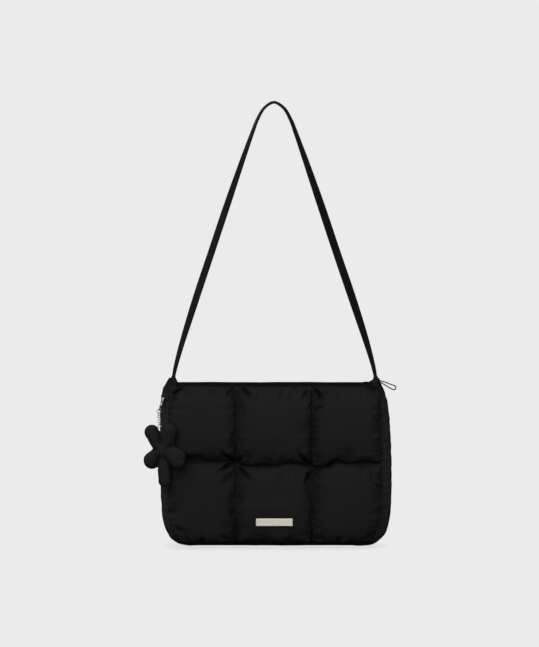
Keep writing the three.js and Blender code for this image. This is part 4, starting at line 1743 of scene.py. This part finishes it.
@dataclass
class Charm:
    """The flower charm on its clasp, rings and chain."""

    settling: Settling
    flower_at: Triple = (-152.9, -43.0, -482.0)
    yaw: float = -18.0  # degrees that the flower turns away from the front
    flat: float = 0.76  # its thickness, as a share of its width
    neck: float = 9.4  # radius of a petal's inner end
    heart: float = 13.44  # radius of the middle
    narrow: float = 0.96  # share of a lobe's radius at the neck's outer end
    web: float = 8.0  # radius of the webs between the petals
    web_flat: float = 0.42  # their thickness, as a share of their width
    groove: float = 0.5  # how far the flower is drawn in between its petals
    groove_width: float = 2.2
    groove_power: float = 1.5  # sharpness of the lines that draw it in
    groove_from: float = 3.0  # distance of their inner ends from the middle
    groove_to: float = 0.7  # share of a notch's distance where they are deepest
    groove_shade: float = 0.6  # painted shade in these lines
    voxel: float = 1.25  # grain of the joined shape
    held: float = 4.0  # radius of the sewn middle
    most_moved: float = 1.2  # furthest that the cloth settles
    links: int = 5  # links of the chain

    def rough_flower(self) -> bmesh.types.BMesh:
        """Joins plain lobes, necks, webs and a heart into a rough flower.

        Returns:
            The shapes, which overlap.
        """
        work = bmesh.new()
        place = Matrix.Translation(Vector(self.flower_at) * MM)
        place @= Matrix.Rotation(math.radians(self.yaw), 4, "Z")
        squash = place @ Matrix.Diagonal((1.0, self.flat, 1.0, 1.0))
        thin = place @ Matrix.Diagonal((1.0, self.web_flat, 1.0, 1.0))

        def spot(within: Matrix, angle: float, reach: float) -> Matrix:
            """A place that far out from the heart."""
            turn = Matrix.Rotation(math.radians(90.0 - angle), 4, "Y")
            return within @ turn @ Matrix.Translation((0.0, 0.0, reach * MM))

        def ball(radius: float, at: Matrix, segments: int = 24, rings: int = 16) -> None:
            """Adds a ball."""
            bmesh.ops.create_uvsphere(
                work, u_segments=segments, v_segments=rings, radius=radius * MM, matrix=at
            )

        ball(self.heart, squash)
        for petal in PETALS:
            ball(petal.lobe, spot(squash, petal.angle, petal.reach))
            bmesh.ops.create_cone(
                work,
                cap_ends=True,
                segments=24,
                radius1=self.neck * MM,
                radius2=petal.lobe * self.narrow * MM,
                depth=petal.reach * MM,
                matrix=spot(squash, petal.angle, petal.reach / 2.0),
            )
        for web in WEBS:
            ball(self.web, spot(thin, web.angle, web.reach - self.web), 20, 12)
        return work

    def pinch(self, points: Array) -> Array:
        """Draws the flower in along the lines between its petals.

        Args:
            points: The flower's points, changed in place.

        Returns:
            How deep in a line each point lies, from 0 to 1.
        """
        turn = math.radians(self.yaw)
        run = np.array([math.cos(turn), math.sin(turn), 0.0])
        face = np.array([-math.sin(turn), math.cos(turn), 0.0])
        from_heart = points / MM - np.array(self.flower_at)
        x, y, z = from_heart @ run, from_heart @ face, from_heart[:, 2]
        deepest = np.zeros(len(points))
        for web in WEBS:
            cosine, sine = math.cos(math.radians(web.angle)), math.sin(math.radians(web.angle))
            line = bell(z * cosine - x * sine, self.groove_width, self.groove_power)
            start = smooth_step(x * cosine + z * sine, self.groove_from, web.reach * self.groove_to)
            deepest = np.maximum(deepest, line * start)
        points -= (self.groove * deepest * y)[:, None] * face * MM
        return deepest

    def build_flower(self) -> None:
        """Builds the stuffed flower."""
        mesh = bpy.data.meshes.new("stuffed_flower")
        work = self.rough_flower()
        work.to_mesh(mesh)
        work.free()
        made = add_object("stuffed_flower", mesh, "charm_nylon")
        assign(made.modifiers.new("joined", "REMESH"), mode="VOXEL", voxel_size=self.voxel * MM)
        assign(made.modifiers.new("soften", "SMOOTH"), factor=0.5, iterations=4)
        apply_modifiers(made)
        points = points_of(made.data)
        off = np.linalg.norm(points - np.array(self.flower_at) * MM, axis=1)
        pinned = (off < self.held * MM).astype(float)
        moves = self.settling.run(made, pinned, np.ones(len(points))) - points
        points += held_back(moves, self.most_moved * MM)
        # Painted shade along the lines drawn in between the petals.
        set_shade(made.data, self.pinch(points) * self.groove_shade)
        made.data.vertices.foreach_set("co", points.ravel())
        shade_smooth(made.data)
        lay_cloth(made.data, np.stack([points[:, 0], points[:, 2] + points[:, 1]], axis=1))
        subdivided(made, 1)
        place_piece(made, ["charm_flower"])

    def build(self) -> None:
        """Builds every piece of the charm."""
        self.build_flower()
        for piece in CLASP:
            piece.build()
        links = [f"chain_link_{number + 1}" for number in range(self.links)]
        for node in ("charm_ring", *links, "flower_ring"):
            made = solid_copy(node, f"{node}_wire", "silver", wire=True)
            subdivided(made, 2)
            place_piece(made, [node])


class Glow(Enum):
    """What a light is for."""

    CLOTH = "lights the matt surfaces"
    METAL = "shows as a streak in polished metal"


class Softbox(NamedTuple):
    """A soft light that faces the bag."""

    name: str  # its name
    at: Triple  # its place, in metres
    size: Range  # its width and height, in metres
    power: float  # its power, in watts
    glow: Glow  # what it is for


STRIP = ((0.35, 1.5), 6.6, Glow.METAL)  # size, power and use of the narrow lights
SOFTBOXES = (
    Softbox("key", (-0.9, -1.3, 1.3), (2.2, 1.6), 26.3, Glow.CLOTH),
    Softbox("front_card", (0.0, -2.8, -0.3), (3.2, 2.2), 35.7, Glow.CLOTH),
    Softbox("back_card", (0.0, 2.8, -0.2), (3.2, 2.2), 36.0, Glow.CLOTH),
    Softbox("clasp_glint", (-0.3, -1.5, 1.2), (0.5, 1.0), 1.1, Glow.METAL),
    Softbox("strip_right", (0.9, -2.2, 0.2), *STRIP),
    Softbox("strip_left", (-2.3, -0.3, 0.3), *STRIP),
    Softbox("strip_behind", (-0.6, 2.2, 0.2), *STRIP),
)
WHITE = (1.0, 1.0, 1.0, 1.0)


@dataclass
class Studio:
    """The camera, the pale floor and the soft light."""

    camera_at: Triple = (-7.0, -2134.0, -307.0)
    lens: float = 85.0
    sensor: float = 36.0  # width of the camera's sensor
    aim: Triple = (0.0, 0.0, -0.48)  # where the lights point, in metres
    pale: float = 0.831  # brightness of the surroundings as the camera sees them
    dim: float = 0.378  # brightness of the light that they give
    mirrored: float = 0.16  # their brightness in reflections
    floor_dim: float = 0.1  # brightness of the light that the floor gives
    floor_z: float = -617.5
    floor_radius: float = 9.0  # in metres
    shadow: float = 0.16  # how dark the floor is under the bag
    shadow_reach: float = 0.02  # how far that shadow reaches, in metres

    def set_camera(self) -> None:
        """Sets the level camera in front of the bag."""
        data = bpy.data.cameras.new("camera")
        assign(data, lens=self.lens, sensor_width=self.sensor, clip_end=50.0)
        camera = bpy.data.objects.new("camera", data)
        camera.location = Vector(self.camera_at) * MM
        camera.rotation_euler = (math.pi / 2.0, 0.0, 0.0)
        bpy.context.scene.collection.objects.link(camera)
        bpy.context.scene.camera = camera

    def set_world(self) -> None:
        """Sets the surroundings: pale to the camera, dimmer as light, dark in reflections."""
        world = bpy.data.worlds.new("studio")
        bpy.context.scene.world = world
        graph = Graph.of(world)
        glossy = graph.node("ShaderNodeLightPath", output="Is Glossy Ray")
        given = {"Value": glossy, "To Min": self.dim, "To Max": self.mirrored}
        light = graph.node("ShaderNodeMapRange", given)
        seen = {"Value": glossy.beside("Is Camera Ray"), "To Min": light, "To Max": self.pale}
        strength = graph.node("ShaderNodeMapRange", seen)
        back = graph.node("ShaderNodeBackground", {"Color": WHITE, "Strength": strength})
        graph.node("ShaderNodeOutputWorld", {"Surface": back})

    def set_floor(self) -> None:
        """Lays the pale floor, with a faint shadow close to what stands over it."""
        work = bmesh.new()
        bmesh.ops.create_circle(work, cap_ends=True, segments=96, radius=self.floor_radius)
        mesh = bpy.data.meshes.new("floor")
        work.to_mesh(mesh)
        work.free()
        mesh.transform(Matrix.Translation((0.0, 0.0, self.floor_z * MM)))
        material = bpy.data.materials.new("floor")
        graph = Graph.of(material)
        reach = {"Distance": self.shadow_reach}
        # The floor's shadow is painted: ambient occlusion dims its glow close to the bag.
        open_sky = graph.node("ShaderNodeAmbientOcclusion", reach, "AO", samples=12)
        seen = graph.node("ShaderNodeLightPath", output="Is Camera Ray")
        level = seen * (self.pale - self.floor_dim) + self.floor_dim
        strength = level * (open_sky * self.shadow + (1.0 - self.shadow))
        shader = graph.node("ShaderNodeEmission", {"Color": WHITE, "Strength": strength})
        graph.node("ShaderNodeOutputMaterial", {"Surface": shader})
        floor = add_object("floor", mesh)
        mesh.materials.append(material)

    def add_softbox(self, box: Softbox) -> None:
        """Hangs a soft light, which shows only on cloth or only in metal.

        Args:
            box: The light.
        """
        data = bpy.data.lights.new(box.name, "AREA")
        assign(data, shape="RECTANGLE", size=box.size[0], size_y=box.size[1], energy=box.power)
        light = bpy.data.objects.new(box.name, data)
        light.location = box.at
        light.visible_camera = False
        light.visible_glossy = box.glow is Glow.METAL
        light.visible_diffuse = box.glow is Glow.CLOTH
        towards = Vector(self.aim) - Vector(box.at)
        light.rotation_euler = towards.to_track_quat("-Z", "Y").to_euler()
        bpy.context.scene.collection.objects.link(light)

    def light(self) -> None:
        """Lights the bag softly from above and in front."""
        bpy.context.scene.view_settings.view_transform = "Standard"
        self.set_world()
        self.set_floor()
        for box in SOFTBOXES:
            self.add_softbox(box)


@dataclass
class HemStitches:
    """The rows of stitches under the zip on both panels."""

    form: BagForm
    end: float = 3.0  # distance from the side seams to the rows' ends
    proud: float = 0.05  # how far the stitches' middle stands out of the cloth
    steps: int = 60  # points along a row
    stitches: ShapeRow = ShapeRow("hem_stitches", "thread", 3.2, (0.5, 0.5, 2.4))

    def build(self) -> None:
        """Sews both rows."""
        form = self.form
        half = float(form.column("half")(form.hem)) + form.clear + form.seam_thick + self.proud
        reach = float(form.column("seam")(form.hem)) - self.end
        x = np.linspace(-reach, reach, self.steps)
        z = np.full_like(x, form.top_z - form.hem)
        rows = [np.stack([x, np.full_like(x, side.value * half), z], axis=1) for side in Side]
        place_piece(self.stitches.along(rows), [])


def main() -> None:
    """Builds every piece in order."""
    logging.basicConfig(level=logging.INFO, format="%(name)s: %(message)s")
    studio = Studio()
    studio.set_camera()
    PullCord().build()
    form = BagForm()
    settling = Settling(slack=0.02, gather=0.036, pressure=3.0, bending=0.02, frames=25)
    front = QuiltedPanel(
        form, Side.FRONT, crown=20.0, settling=settling, columns=43, rows=46, folds=FRONT_FOLDS
    )
    place_piece(front.build("front_quilt", Plate()), ["front_panel"])
    PLATE.build()
    settling = Settling(slack=0.02, gather=0.045, pressure=3.0, bending=0.02, frames=20)
    back = QuiltedPanel(
        form, Side.BACK, crown=13.0, settling=settling, columns=30, rows=32, bottom_roundness=0.6
    )
    place_piece(back.build("back_quilt"), ["back_panel"])
    gusset = Gusset(form, Settling(slack=0.03, gather=0.08, pressure=2.0, bending=0.02, frames=25))
    place_piece(gusset.build("side_strip"), ["gusset"])
    Zip(form).build()
    Strap().build()
    CornerTab().build("corner_tab_left", -1.0)
    CornerTab().build("corner_tab_right", 1.0)
    HemStitches(form).build()
    Charm(Settling(slack=0.05, gather=0.05, pressure=2.0, bending=0.02, frames=20)).build()
    studio.light()
    bpy.context.view_layer.update()


if __name__ == "__main__":
    main()
